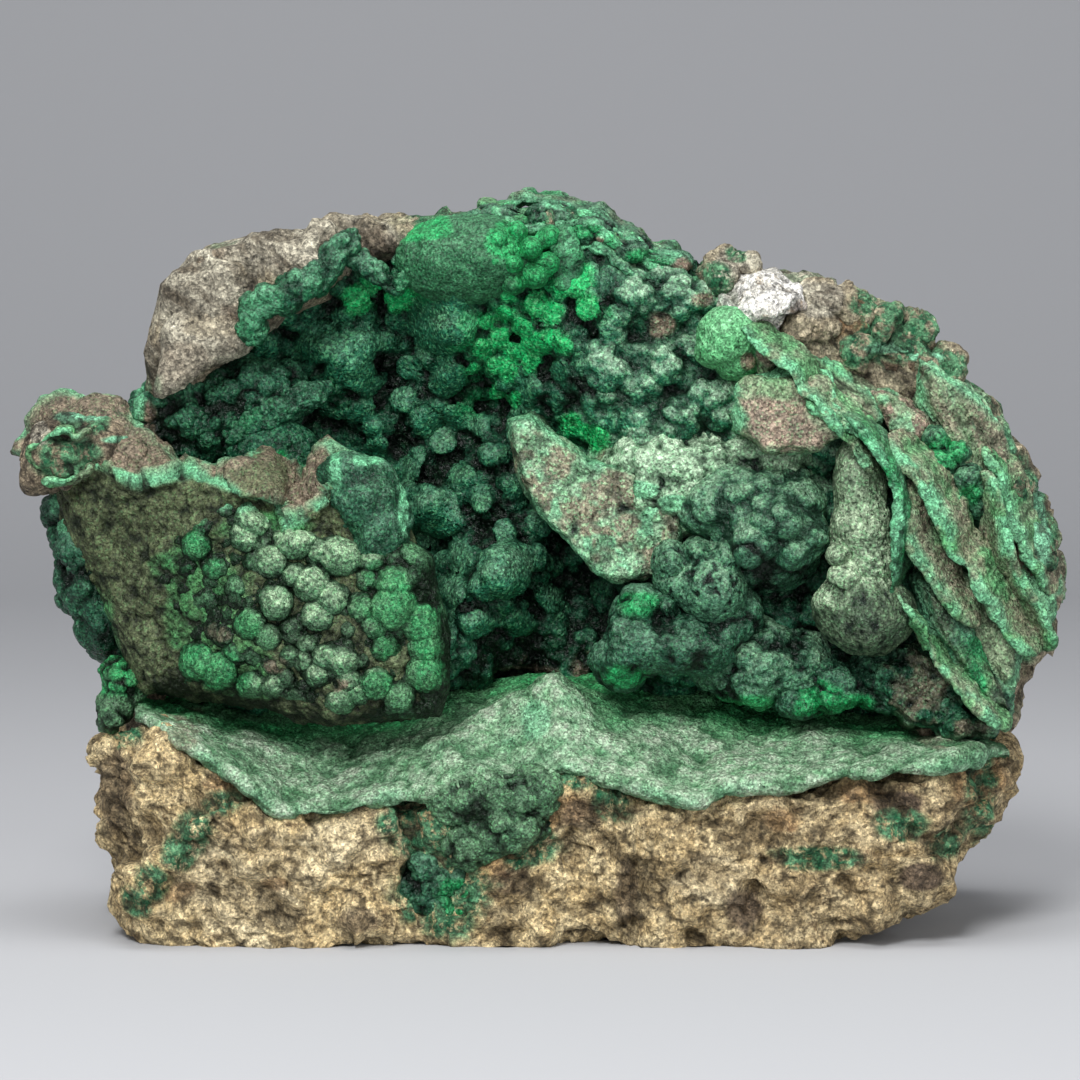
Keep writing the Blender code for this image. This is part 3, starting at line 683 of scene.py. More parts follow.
def lining_front(x, z):
    """The hollow with broad swellings, balls and beads on it, and drawn back in the slot above the floor."""
    y = hollow(x, z)
    for cx, cz, rx, rz, rise in HOLLOW_FORMS:
        y = y - rise * np.exp(-((((x - cx) / rx) ** 2 + ((z - cz) / rz) ** 2) ** 1.5))
    y = y - beads(x, z, HOLLOW_BALLS, 0.8) - beads(x, z, HOLLOW_BEADS, 1.0)
    return y + 11 * (1 - smooth(z, 50, 58)) * smooth(x, -70, -40)


# ---------------------------------------------------------------- host rock

def rough_rock(rings, strength=1.0, salt=0, crumb=2.2, facets=(24, 9, 4), tilts=(0.35, 0.6, 0.7)):
    """Broken faces at three sizes, crumbs and fine clouds, raised along the normals.  The crumbs are
    lower towards the back.  Also gives a mask of the hollows between crumbs and in the dents, for
    painted shade."""
    fine = 1 - 0.75 * smooth(rings[..., 1], 0, 22)
    relief, dents = 0, 0
    for k, (size, tilt) in enumerate(zip(facets, tilts)):
        relief = relief + broken(rings, size, tilt, salt + 20 * k) + size * tilt * 0.13
        dents = dents + broken(rings, size * 0.8, tilt * 0.9, salt + 20 * k + 10) + size * tilt * 0.12
    crumbs = caps(rings, crumb, salt + 60)
    clouds = layers(rings, 7, 4, salt + 80)
    height = relief - dents + (crumbs - 0.5 * crumb) * 0.5 * fine + clouds * 0.9
    pit_shade = 0.75 * (1 - smooth(crumbs / crumb, 0.1, 0.5)) * fine + 0.6 * smooth(dents - relief, 0.2, 1.8)
    return raised(rings, height * strength), np.clip(pit_shade, 0, 0.9)


def cut_back(y, x, z, breaks):
    """Depth of a back face, cut by planes, each given by a point and its outward direction."""
    for (px, py, pz), (nx, ny, nz) in breaks:
        y = np.minimum(y, py - ((x - px) * nx + (z - pz) * nz) / ny)
    return y


# The planes that cut the backs of the slab and the wall: a point, and the direction outwards.
BASE_BREAKS = (((0, 46, 52), (0.05, 1.0, 0.45)), ((-10, 47, 26), (-0.10, 1.0, -0.16)),
               ((66, 42, 20), (0.45, 1.0, -0.25)), ((-84, 34, 30), (-0.8, 1.0, -0.15)),
               ((94, 20, 30), (1.0, 0.5, -0.2)))
WALL_BREAKS = (((52, 42, 110), (0.42, 1.0, 0.22)), ((-50, 41, 112), (-0.34, 1.0, 0.30)),
               ((-84, 38, 70), (-0.9, 1.0, 0.1)), ((104, 26, 80), (1.0, 0.7, 0.1)),
               ((10, 34, 150), (0.1, 0.9, 1.0)), ((-70, 34, 140), (-0.6, 0.8, 0.7)),
               ((76, 34, 134), (0.5, 0.8, 0.6)))


def base_rock():
    """The slab under everything: a block along X with an undercut at each end, standing on z = 0."""
    low = line( [(-101, 30), (-98.5, 20), (-96, 10), (-92, 3), (-79, -3), (-50, -7), (-42, 2), (-32, 3),
                 (-20, -6), (-4, -6), (6, 1), (14, 1), (24, -6), (50, -7), (60, -2), (72, 4), (86, 9),
                 (93, 16), (99, 27), (105, 40)])

    def high(at):
        lift = 5 * np.exp(-(((at - 5) / 12) ** 2)) - 5 * smooth(-at, 84, 93)
        return np.minimum(FLOOR_FRONT(at), FLOOR_BACK(at)) - 2 + lift

    def front(at, z):
        ends = 16 * smooth(at, 84, 106) + 9 * (1 - smooth(at, -101, -88))
        facet = 5 * smooth(-at, 86, 91) * smooth(z, 16, 24)
        cleft = 5 * np.exp(-(((at + 28 + (z - 20) * 0.12) / 2.4) ** 2)) * smooth(z, 2, 12)
        druse = 5 * np.exp(-(((at + 23) / 9) ** 2 + ((z - 11) / 8) ** 2))
        shelf = 2.5 * np.exp(-(((at + 5) / 10) ** 2 + ((z - 30) / 8) ** 2))
        ridge = -5 * np.exp(-((((at + 80) * 0.62 - (z - 22) * 0.78) / 3.4) ** 2))
        ridge = ridge * smooth(at, -96, -88) * (1 - smooth(at, -72, -66))
        right_dent = 4 * np.exp(-(((at - 46) / 6) ** 2 + ((z - 9) / 6) ** 2))
        middle_dent = 3.5 * np.exp(-((at - 8) / 5) ** 2 - ((z - 16) / 9) ** 2)
        lip = -1.0 * smooth(z, 20, 31)
        return (-48 + ends + facet + cleft + druse + shelf + ridge + (right_dent + middle_dent) + lip
                + (z - 25) * 0.03)

    def back(at, z):
        return cut_back(49 + 0 * z, at, z, BASE_BREAKS)

    rings = block(-99, 104, low, high, front, back, columns=300, count=240, front_share=0.84, power=9)
    rings, pit_shade = rough_rock(rings, 0.85, facets=(20, 8, 4), tilts=(0.3, 0.75, 1.0))
    rings[..., 2] = np.maximum(rings[..., 2], 0)
    x, z = rings[..., 0], rings[..., 2]
    ribs = np.exp(-(((x - 19) / 6) ** 2)) * smooth(-rings[..., 1], 30, 42) * np.sin(x * 2.6 + np.sin(z / 6))
    rings[..., 1] -= ribs * 0.9
    masks = {
        # Painted shade in the small hollows of the rock.
        "depth": pit_shade,
        "pale": 0.75 * spots(rings, [(-62, 14, 19, 15), (38, 14, 9, 6), (-42, 24, 12, 7)]),
        "rust": 0.45 * spots(rings, [(2, 30, 12, 4), (-10, 20, 6, 4), (98, 36, 6, 8), (70, 34, 8, 2),
                                     (-70, 36, 6, 2), (54, 28, 5, 3), (-58, 14, 4, 2), (-80, 12, 4, 2)]),
        "brown": 0.28 * smooth(x, 5, 60) + 0.7 * spots(rings, [(-95, 32, 5, 11), (45, 8, 5, 5),
                                                               (-6, 14, 5, 3), (9, 29, 5, 4),
                                                               (19, 12, 2.4, 9), (84, 16, 6, 3),
                                                               (-28, 20, 2.0, 12), (-40, 6, 5, 3),
                                                               (80, 32, 6, 3)], 0.3),
        "green": spots(rings, [(-80, 21, 4, 4), (-76, 26, 5, 5), (-85, 15, 4, 5), (-89, 10, 4, 4),
                               (-22, 11, 11, 10), (-26, 26, 9, 9), (98, 32, 4, 12), (62, 20, 9, 3),
                               (-94, 46, 8, 3), (90, 22, 5, 4), (6, 38, 12, 4), (-2, 22, 7, 5),
                               (80, 27, 6, 4), (-70, 32, 5, 3), (16, 33, 5, 6)], 0.3),
    }
    return loft("base_rock", rings, OCHRE, ROCK_SLOT, **masks)


def wall_rock():
    """The wall behind the hollow: a block along X, its front drawn back behind the lining."""
    low = line([(-96, 50), (-92, 36), (-80, 30), (96, 30), (108, 44), (114, 56), (118, 66)])

    def front(at, z):
        face = -24 - 3 * smooth(z, 120, 150) + 7 * smooth(at, 84, 100) + 10 * smooth(at, 98, 118)
        left_cheek = 5 * smooth(at, -84, -76) * (1 - smooth(at, -52, -44)) * smooth(z, 128, 142)
        face = face + 8 * (1 - smooth(at, -94, -84)) - left_cheek
        sunk = within(at, z, SUNK_OUTLINE, 7)
        return face * (1 - sunk) + (lining_front(at, z) + 10) * sunk

    def back(at, z):
        return cut_back(43 - 0.0008 * np.maximum(z - 20, 0) ** 2, at, z, WALL_BREAKS)

    rings = block(-94, 117, low, WALL_TOP, front, back, columns=250, count=210, front_share=0.7, power=12)
    x, y, z = np.moveaxis(rings, -1, 0)
    z -= (2 + 0.09 * np.maximum(y + 24, 0)) * smooth(z - WALL_TOP(x), -30, 0)
    sunk = within(x, z, SUNK_OUTLINE, 7) * (y < 20)
    calm = smooth(-x, 40, 54) * smooth(z, 124, 132) * (y < 0)
    rough, pit_shade = rough_rock(rings, 0.85, 100)
    rings = rings + (rough - rings) * ((1 - 0.8 * sunk) * (1 - 0.3 * calm))[..., None]
    up = facing(rings)
    # Painted shade: the clefts at the right, on the faces towards the front, are drawn near-black.
    cleft = spots(rings, [(97, 86, 5, 11), (92, 98, 5, 8)], 0.2) * (rings[..., 1] < 0)
    masks = {
        # Painted shade in the small hollows of the rock, less on the calm face, and in the clefts.
        "depth": np.maximum(pit_shade * (1 - 0.6 * calm), cleft),
        "pale": spots(rings, [(-74, 144, 14, 14), (-84, 128, 10, 7), (-56, 154, 24, 8), (54, 146, 14, 7)])
             * 0.9,
        "rust": 0.5 * spots(rings, [(70, 138, 8, 5), (92, 118, 6, 5)]),
        "brown": 0.5 * spots(rings, [(-40, 154, 8, 4), (104, 80, 10, 22), (90, 110, 10, 12)]),
        "green": 0.5 * np.clip(up, 0, 1) * smooth(rings[..., 0], -40, -20) + spots(
            rings, [(96, 105, 14, 16), (110, 80, 10, 20), (80, 134, 10, 8), (-92, 122, 5, 8),
                    (-4, 162, 20, 9), (20, 156, 14, 8), (-24, 162, 6, 5), (38, 151, 4, 5)]),
        "rim": 0.8 * spots(rings, [(2, 166, 8, 2), (22, 155, 8, 1.5), (-90, 120, 1.5, 8),
                                   (-10, 164, 6, 1.5)], 0.5),
    }
    return loft("wall_rock", rings, BEIGE, ROCK_SLOT, **masks)


# ---------------------------------------------------------------- malachite

EMERALD_SPOTS = [(0, 144, 8, 6), (-3, 135, 9, 8), (-12, 130, 8, 8), (12, 139, 5, 4), (10, 111, 5, 3),
                 (14, 108, 4, 3), (-34, 143, 7, 4), (-24, 146, 8, 5), (-14, 120, 5, 6), (-62, 105, 3, 2)]


def hollow_lining():
    """The lining of the hollow: a closed sheet on the hollow's wall, grown over with lumps."""
    rings = leaf(LINING_OUTLINE, lining_front, lambda x, z: lining_front(x, z) + 8,
                 columns=310, up=232, behind=12, edge=5)
    rings = raised(rings, layers(rings, 14, 2, 3) * 1.6)
    x, z = rings[..., 0], rings[..., 2]
    emerald = smooth(beads(x, z, HOLLOW_BEADS), 0.3, 1.6)
    balls = np.maximum(smooth(beads(x, z, HOLLOW_BALLS), 0.5, 2.5), emerald)
    right = smooth(x - (z - 120) * 0.3, 4, 16) * smooth(z, 92, 104)
    plain = rings
    rings, depth = lumpy(rings, (7.5, 3.4, 1.7), 200, 0.62)
    fine, fine_depth = lumpy(plain, (1.6,), 240, 0.3)
    ball_crowns = smooth(beads(x, z, HOLLOW_BALLS), 0.5, 4.5)
    balls_depth = 1 - np.maximum(ball_crowns, smooth(beads(x, z, HOLLOW_BEADS), 0.2, 2.4))
    rings = rings + (fine - rings) * (0.9 * balls)[..., None]
    depth = depth + (0.6 * fine_depth + 0.5 * balls_depth - depth) * 0.85 * balls
    up = facing(rings)
    masks = {
        # Painted shade between the lumps, darker on the left and lighter on the right as painted shade and
        # light; dust with a painted highlight on faces turned up, most on the right.
        "depth": np.clip(depth + 0.15 * (1 - balls) * (1 - right) - 0.1 * right, 0, 1),
        "dust_and_highlight": (0.12 + 0.14 * smooth(x, -50, -25) + 0.7 * right) * smooth(up, -0.5, 0.4),
        "bright": np.maximum(emerald, 0.4 * spots(rings, EMERALD_SPOTS, 0.5)),
        "bare": 0.85 * spots(rings, [(27, 137, 3, 3), (16, 105, 4, 3), (36, 142, 3, 2), (-2, 56, 6, 4),
                                     (12, 58, 5, 5)]),
        "rim": 0.5 * spots(rings, [(-89, 115, 3, 8)]),
    }
    return loft("hollow_lining", rings, LINING, LINING_SLOT, **masks)


def crust():
    """The floor's crust: each ring runs along the top from back to front, over the lip, down a short
    skirt and back underneath."""
    x = np.linspace(-90, 104.5, 270)

    def strip(y, z):
        """One strip of the section, carried along x."""
        return np.stack([np.broadcast_to(x[:, None], z.shape), y, z], -1)

    drape = line( [(-90, 1), (-80, 1.5), (-70, 1.2), (-57, 0.8), (-44, 0.8), (-30, 2), (-20, 4), (-8, 5),
                   (4, 2), (16, 1.5), (30, 1.5), (44, 1), (60, 1.5), (75, 1), (90, 2), (104, 2)])(x)[:, None]
    edge = -50.5 + 14 * smooth(x, 88, 106) + 13 * (1 - smooth(x, -91,
        -78)) + 1.5 * np.sin(x / 7) + np.sin(x / 3.1)
    edge = edge[:, None]
    s = np.linspace(0, 1, 130)[None]
    top_y = -4 + (edge + 3 + 4) * s
    top = strip(top_y, floor_height(x[:, None], top_y))
    angle = np.linspace(0, np.pi / 2, 8)[None, 1:]
    lip_z = floor_height(x[:, None], edge + 3)
    lip = strip(edge + 3 - 3 * np.sin(angle), lip_z - 2 + 2 * np.cos(angle))
    s = np.linspace(0, 1, 12)[None, 1:]
    skirt = strip(edge + 2.2 * s**2, lip_z - 2 - drape * s)
    under_y = (edge + 2.2) * (1 - s) - 4 * s
    under = strip(under_y, floor_height(x[:, None], under_y) - 4 - (drape - 2) * (1 - s))
    rings = np.concatenate([top, lip, skirt, under], 1)
    rings = raised(rings, layers(rings, 12, 4, 9) * 1.1)
    rings, depth = lumpy(rings, (7, 3, 1.6), 300, 0.2)
    y = rings[..., 1]
    hump = np.exp(-(((rings[..., 0] + 2) / 16) ** 2)) * smooth(rings[..., 2], 44, 52)
    front = smooth(-y + 6 * layers(rings, 16, 3, 13) + 4 * hump, 15, 34)
    face = 1 - smooth(facing(rings), 0.15, 0.75)
    masks = {
        # Painted shade between the lumps.
        "depth": depth * 0.6,
        # Dust with a painted highlight, strongest over the front of the crust where the light falls.
        "dust_and_highlight": np.clip(1.1 * front + 0.25 * layers(rings, 6, 4, 17), 0, 1),
        # The crust's own saturated green at the back, also brightened there as painted light against the
        # shadow under the overhang.
        "bright": (1 - front) * 0.6 * smooth(layers(rings, 15, 3, 23), -0.6, 0.1),
        "rim": 0.3 * face * front * smooth(layers(rings, 8, 3, 29), -0.3, 0.4) + 0.5 * spots(rings,
            [(-1, 49, 3, 5)]),
        "bare": 0.5 * spots(rings, [(88, 46, 6, 3), (-80, 46, 5, 3)]),
    }
    return loft("floor_crust", rings, CRUST, CRUST_SLOT, **masks)


SEAM = line( [(-118, 106), (-112, 106), (-98, 105), (-88, 101), (-77, 103), (-64, 99), (-59, 98), (-56, 92),
              (-51, 94), (-47, 98), (-43, 112)])
FLAP_OUTLINE = ((-117, 108), (-114, 114), (-108, 119), (-98, 116), (-88, 111), (-79, 104), (-68, 104),
                (-61, 106), (-53, 103), (-47, 108), (-41, 107), (-33, 101), (-28, 90), (-24, 76), (-22, 65),
                (-23, 51), (-31, 49), (-46, 48), (-64, 51), (-78, 53), (-89, 54), (-92, 58), (-96, 69),
                (-102, 82), (-109, 97), (-115, 102))
GRAPE_OUTLINE = ((-72, 98), (-64, 99), (-58, 93), (-46, 92), (-31, 90), (-24, 86), (-22, 76), (-20, 68),
                 (-20, 57), (-22, 50), (-35, 49), (-44, 50), (-53, 53), (-59, 53), (-67, 53), (-80, 56),
                 (-83, 63), (-79, 70), (-86, 73), (-88, 80), (-82, 90))
GRAPES = (
    (-58, 76, 4.1), (-64, 71, 3.9), (-60, 68, 3.3), (-46, 77, 4.1), (-50, 80, 4.4), (-54, 82, 3.0),
    (-49, 73, 3.9), (-59, 85, 3.9), (-63, 94, 4.4), (-65, 90, 3.7), (-54, 90, 5.0), (-44, 86, 5.0),
    (-48, 87, 3.4), (-28, 87, 3.0), (-37, 85, 3.2), (-32, 80, 4.6), (-38, 81, 3.0), (-39, 75, 3.5),
    (-32, 75, 5.6), (-26, 71, 4.8), (-36, 71, 3.4), (-34, 66, 3.5), (-25, 66, 4.2), (-25, 60, 4.6),
    (-42, 70, 2.2), (-51, 67, 2.6), (-55, 70, 2.2), (-52, 63, 2.6), (-47, 64, 3.4), (-43, 63, 3.7),
    (-42, 59, 3.2), (-49, 60, 3.2), (-36, 58, 4.1), (-39, 63, 2.0), (-56, 59, 2.4), (-59, 57, 3.2),
    (-64, 57, 3.7), (-76, 62, 4.8), (-71, 60, 4.6), (-76, 88, 3.7), (-72, 83, 3.2), (-44, 54, 3.7),
    (-40, 56, 3.0), (-68, 64, 2.8), (-55, 64, 2.6), (-67, 79, 2.8), (-31, 55, 3.8), (-54, 54, 3.0),
)
GREEN_GRAPES = [(-64, 71, 4, 4), (-32, 76, 8, 5), (-25, 70, 4, 8), (-76, 62, 6, 6), (-70, 60, 6, 6),
                (-34, 66, 4, 4), (-36, 58, 5, 4), (-24, 58, 5, 9), (-82, 78, 7, 5), (-34, 82, 5, 3),
                (-75, 86, 7, 7)]


def sheet(x, z):
    """Depth of the flap's front: swung back at the tip, gently folded, slanting back above the seam."""
    swing = 0.21 * np.maximum(-38 - x, 0) + 0.012 * np.maximum(-95 - x, 0) ** 2
    swell = 5 * np.exp(-(((x + 50) / 26) ** 2 + ((z - 70) / 20) ** 2))
    fold = 1.4 * np.sin(x / 9 + z / 14) + 0.8 * np.sin(x / 4.3 - z / 6)
    above = np.maximum(z - SEAM(x), 0)
    return -44 + swing - swell + fold + above * 0.9 - 2.0 * np.exp(-(((z - SEAM(x)) / 1.6) ** 2))


def flap():
    """The curled flap at the left: a closed sheet whose tip is swung back and whose top is broken on a
    slant above a thin seam."""
    def front(x, z):
        mound = 5 * np.sqrt(np.clip(1 - ((x + 62) / 6.5) ** 2 - ((z - 102) / 3.6) ** 2, 0, None))
        return sheet(x, z) - mound

    rings = leaf(FLAP_OUTLINE, front, lambda x, z: sheet(x, z) + 11, columns=280, up=210, behind=18, edge=6)
    x, z = rings[..., 0], rings[..., 2]
    bare = smooth(z - SEAM(x), 0.2, 1.0) * (x < -42)
    chips = broken(rings, 9, 0.7, 400) + broken(rings, 4, 0.6, 420) + layers(rings, 3, 3, 425) * 0.6 + 1.2
    coarse, fine = caps(rings, 3.2, 432), caps(rings, 1.5, 430)
    druse = coarse * 0.3 + fine * 0.5 + layers(rings, 9, 4, 434) * 1.0 - 0.4
    rings = raised(rings, bare * chips + (1 - bare) * druse)
    # Painted shade along the flap's lower edge, where it hangs over the crust.
    under = (1 - smooth(edge_distance(x, z, FLAP_OUTLINE), 1, 8)) * (z < 72) * (x > -86)
    seam = np.exp(-(((z - SEAM(x) - 0.2) / 0.6) ** 2)) * (x < -42)
    seam = seam * smooth(layers(rings, 5, 3, 450), -0.6, 0.0)
    top = np.exp(-((edge_distance(x, z, FLAP_OUTLINE) / 1.2) ** 2))
    top = top * bare * smooth(layers(rings, 6, 3, 455), -0.3, 0.1)
    gap_shade = 1.1 - 0.5 * coarse / 3.2 - 0.7 * fine / 1.5 + 0.3 * layers(rings, 4, 3, 460) + 0.5 * under
    greens = spots(rings, [(-75, 78, 12, 12), (-68, 62, 9, 10), (-60, 92, 12, 4), (-98, 66, 4, 14)])
    masks = {
        "depth": np.clip(gap_shade, 0, 1) * (1 - 0.6 * bare),
        "dust_and_highlight": 0.3 * smooth(layers(rings, 14, 3, 465), -0.3, 0.6),
        "bright": 0.35 * (1 - bare) * greens,
        "bare": bare * (1 - 0.7 * spots(rings, [(-62, 103, 6, 4), (-108, 108, 8, 6)])),
        "rim": np.clip(0.9 * seam + 0.8 * top, 0, 1),
    }
    return loft("flap", rings, VELVET, LINING_SLOT, **masks)


def grape_mass():
    """Grape-like lumps on the right of the flap: the most of sqrt(r^2 - d^2) over a list of lumps, with
    smaller close-set lumps between them."""
    def lumps(x, z):
        fill = caps(np.stack([x, 0 * x, z], -1), 3.6, 470, 0.55, 0.9) * 0.9
        return np.maximum(beads(x, z, GRAPES), fill - 0.2)

    rings = leaf(GRAPE_OUTLINE, lambda x, z: sheet(x, z) + 0.6 - lumps(x, z), lambda x, z: sheet(x, z) + 7,
                 columns=300, up=230, behind=12, edge=4)
    height = lumps(rings[..., 0], rings[..., 2])
    grains = caps(rings, 1.2, 482)
    rings = raised(rings, layers(rings, 3, 3, 480) * 0.35 + grains * 0.25)
    # Painted shade between the grapes and between the grains.
    gap_shade = 1.0 * (1 - smooth(height, 0.4, 4.2)) + 0.3 * (1 - smooth(grains / 1.2, 0.2, 0.8))
    middle = spots(rings, [(-50, 78, 16, 18), (-46, 60, 16, 9), (-62, 92, 9, 7)], 0.3)
    greens = spots(rings, GREEN_GRAPES, 0.3)
    masks = {
        "depth": np.clip(gap_shade + 0.2 * greens, 0, 1),
        "dust_and_highlight": (0.15 + 0.75 * middle) * smooth(facing(rings), -0.4, 0.6) * (1 - 0.7 * greens),
        "bright": 0.32 * greens + 0.1 * (1 - middle),
        "bare": 0.7 * spots(rings, [(-71, 69, 3, 2), (-44, 58, 3, 2), (-58, 62, 3, 2)]),
        "rim": 0.6 * spots(rings, [(-66, 97, 5, 2), (-56, 94, 5, 2)]),
    }
    return loft("grape_mass", rings, GRAPE, LINING_SLOT, **masks)


def body(name, centre, forms, finish, spacings, rows, around, salt, dust_and_highlight, slot=LINING_SLOT,
         green=(), bare=(), rim=(), shade=(), share=0.6, swell=1.4, dark=1.0):
    """A body of joined ellipsoids (place, radii), rippled and grown over with lumps.  The spacings are
    the sizes of its lumps; green, bare, rim and shade are patches of the front view."""
    rings = cluster(centre, forms, rows, around)
    rings = raised(rings, layers(rings, 9, 3, salt) * swell)
    rings, depth = lumpy(rings, spacings, salt, share)
    shaded = spots(rings, shade)
    masks = {
        # Painted shade between the lumps and on the shade patches; dust with a painted highlight on faces
        # turned up.
        "depth": np.clip(depth**1.4 * dark + 0.42 * shaded, 0, 1),
        "dust_and_highlight": dust_and_highlight * (0.25 + 0.75 * smooth(facing(rings), -0.3, 0.6)) * (1 - 0.85 * shaded),
        "bright": 0.6 * spots(rings, green),
        "bare": 0.9 * spots(rings, bare),
        "rim": 0.75 * spots(rings, rim),
    }
    return loft(name, rings, finish, slot, **masks)


def stone(name, centre, forms, finish, rows, around, salt, strength, **patches):
    """A body of joined ellipsoids (place, radii) broken into rough faces."""
    rings = cluster(centre, forms, rows, around, 10)
    rings, pit_shade = rough_rock(rings, strength, salt, 1.8, (12, 6, 3), (0.7, 0.7, 0.7))
    # Painted shade in the small hollows of the rock.
    masks = {"depth": pit_shade}
    for patch in ROCK_PATCHES:
        masks[patch] = spots(rings, patches.get(patch, ()))
    return loft(name, rings, finish, ROCK_SLOT, **masks)


def masses():
    """The lobes, cushions, domes and lumps, from the hood over the flap to the low lumps at the left."""
    body("hood", (-38, -38, 96),
         [((-39, -40, 99), (9, 8, 9)), ((-35, -40, 91), (8, 7, 9)), ((-43, -39, 103), (6, 7, 5))],
         DUSK, (4, 1.6), 100, 84, 500, 0.3, rim=[(-45, 104, 1.6, 5), (-30, 97, 1.2, 6), (-37, 107, 4, 1.4)],
         share=0.22, dark=0.5)
    body("shelf", (34, -22, 100),
         [((36, -18, 101), (25, 18, 13)), ((26, -18, 106), (12, 14, 9)), ((50, -20, 106), (13, 14, 9))],
         SHELF, (5, 2.4, 1.4), 146, 164, 520, 0.95, rim=[(22, 100, 4, 2), (30, 97, 4, 2)], share=0.34)
    body("big_lobe", (50, -30, 91),
         [((50, -30, 91), (13, 15, 13.5)), ((41, -28, 97), (12, 14, 8)), ((54, -28, 96), (9, 13, 9)),
          ((60, -36, 90), (4, 8, 4)), ((56, -40, 86), (4, 6, 4)), ((47, -42, 88), (4.5, 5, 4.5)),
          ((52, -42, 94), (5, 6, 4))],
         LOBE, (4.4, 1.7), 146, 136, 540, 0.75, share=0.36, shade=[(52, 82, 13, 7)], dark=0.75)
    body("round_lobe", (37, -34, 79),
         [((38, -35, 78.5), (8.5, 11, 8.5)), ((41, -34, 85), (4.5, 9, 4.5)), ((35, -34, 86), (3.6, 9, 3.6)),
          ((29, -33, 84), (4, 9, 4.6)), ((31, -32, 79), (6, 9, 6))],
         LOBE, (2.2, 1.2), 118, 110, 560, 0.6, share=0.25, swell=0.6)
    body("foot_lobe", (30, -30, 66),
         [((32, -31, 66), (15, 14, 7.5)), ((22, -32, 66), (8, 12, 8)), ((42, -28, 71), (8, 12, 8)),
          ((22, -33, 74.5), (4.6, 10, 4.6)), ((28, -33, 74.5), (4, 10, 3.6)), ((18, -30, 61), (7, 11, 6))],
         DUSK, (5, 2.2, 1.3), 132, 124, 580, 0.4, green=[(19, 59, 5, 3), (22, 75, 5, 3)], share=0.3)
    body("tongue", (71, -35, 88),
         [((70.5, -35, 101), (5.6, 8, 12)), ((71, -36, 90), (7, 9, 10)), ((73, -36, 84), (7, 9, 7)),
          ((67.5, -41, 81), (3.6, 6, 3.6)), ((66, -39, 86), (2.6, 7, 2.6)), ((72, -37, 73), (11.5, 12, 9.5)),
          ((64, -40, 75), (4, 8, 4))],
         TONGUE, (1.9, 1.1), 172, 130, 600, 0.95, share=0.22, swell=0.9, shade=[(72, 70, 14, 11)], dark=0.6)
    body("cushion", (48, -24, 61),
         [((48, -25, 61), (12, 13, 10)), ((41, -22, 63), (8, 11, 8)), ((57, -23, 60), (8, 11, 8))],
         LOBE, (5, 2.4, 1.3), 118, 110, 620, 0.75, green=[(46, 52, 7, 3)], share=0.45)
    body("low_cushions", (68, -26, 55),
         [((66, -27, 55), (6.5, 10, 5.5)), ((77, -24, 56), (9, 11, 7)), ((86, -22, 55), (8, 11, 6)),
          ((58, -26, 52), (6, 9, 4))],
         DUSK, (4, 2, 1.2), 100, 96, 640, 0.3, green=[(62, 53, 6, 4), (70, 52, 5, 3)], share=0.45)
    body("dome", (-16, -22, 151),
         [((-16, -24, 151), (16, 13, 10))],
         DOME, (2.4, 1.3), 126, 116, 660, 0.35, green=[(-7, 155, 5, 4), (-26, 158, 7, 3)], share=0.18,
         swell=0.9, dark=0.4)
    body("dome_beads", (-5, -28, 151),
         [((-9, -31, 155), (2.6, 6, 2.6)), ((-6, -31, 150), (2.4, 6, 2.4)),
          ((-2, -31, 153.5), (2.6, 6, 2.6)), ((2, -30, 150), (2.6, 6, 2.6)),
          ((-10, -31, 150.5), (2.2, 6, 2.2)), ((-5, -30, 157), (2.2, 5, 2.2)), ((-1, -30, 147), (3, 7, 2.8)),
          ((-6, -29, 145.5), (3, 6, 2.6)), ((2, -29, 156), (2.6, 5, 2.6))],
         DOME, (1.6,), 100, 96, 680, 0.35, green=[(-4, 151, 12, 9)], share=0.3, swell=0.3)
    body("mint_knob", (43, -29, 133),
         [((42, -31, 134), (6.8, 8, 6.8)), ((44, -29, 128), (5, 7, 4)), ((38, -32, 130), (3.2, 6, 3.2)),
          ((41, -35, 131), (3, 4, 3))],
         KNOB, (2.2, 1.2), 100, 84, 700, 0.4, share=0.2, swell=0.8, bare=[(46, 128, 2, 2)], dark=0.4)
    body("knob_shell", (50.5, -29, 130.5),
         [((50.5, -30, 130.5), (4.2, 6, 5.5))],
         FLANK, (2.4, 1.3), 52, 50, 710, 0.5,
         rim=[(51, 136, 5, 1.2), (46.5, 131, 1.2, 5), (54.5, 128, 1.2, 4)], bare=[(50.5, 130.5, 2.6, 3.6)],
         share=0.3)
    body("hanging_cluster", (-12, -44, 30),
         [((-12, -48, 33), (12, 6, 6)), ((-8, -47, 27), (10, 6, 6)), ((-3, -47, 34), (7, 6, 5)),
          ((-15, -46, 23), (7, 5, 5)), ((-20, -46, 31), (5, 5, 4))],
         GRAPE, (4.4, 2.2, 1.3), 112, 100, 740, 0.25, slot=CRUST_SLOT, share=0.42)
    body("druse_patch", (-22, -42, 12),
         [((-22, -41, 12), (10, 6.5, 9))],
         DUSK, (4.4, 2), 86, 80, 760, 0.35, green=[(-18, 10, 5, 5)], slot=CRUST_SLOT, share=0.6)
    body("back_lumps", (-100, -14, 84),
         [((-101, -14, 82), (9.5, 13, 14)), ((-105, -12, 91), (7, 10, 8)), ((-97, -14, 70), (7, 10, 10))],
         DUSK, (5.5, 2.4, 1.4), 112, 96, 780, 0.3, rim=[(-107, 94, 4, 4)])
    body("left_shelf", (-78, -14, 114),
         [((-78, -15, 114), (13, 11, 10)), ((-66, -14, 120), (13, 10, 8)), ((-86, -12, 116), (6, 11, 7))],
         DUSK, (6, 2.8, 1.5), 126, 110, 800, 0.12, bare=[(-88, 112, 3, 7)], rim=[(-90, 118, 1.6, 6)])
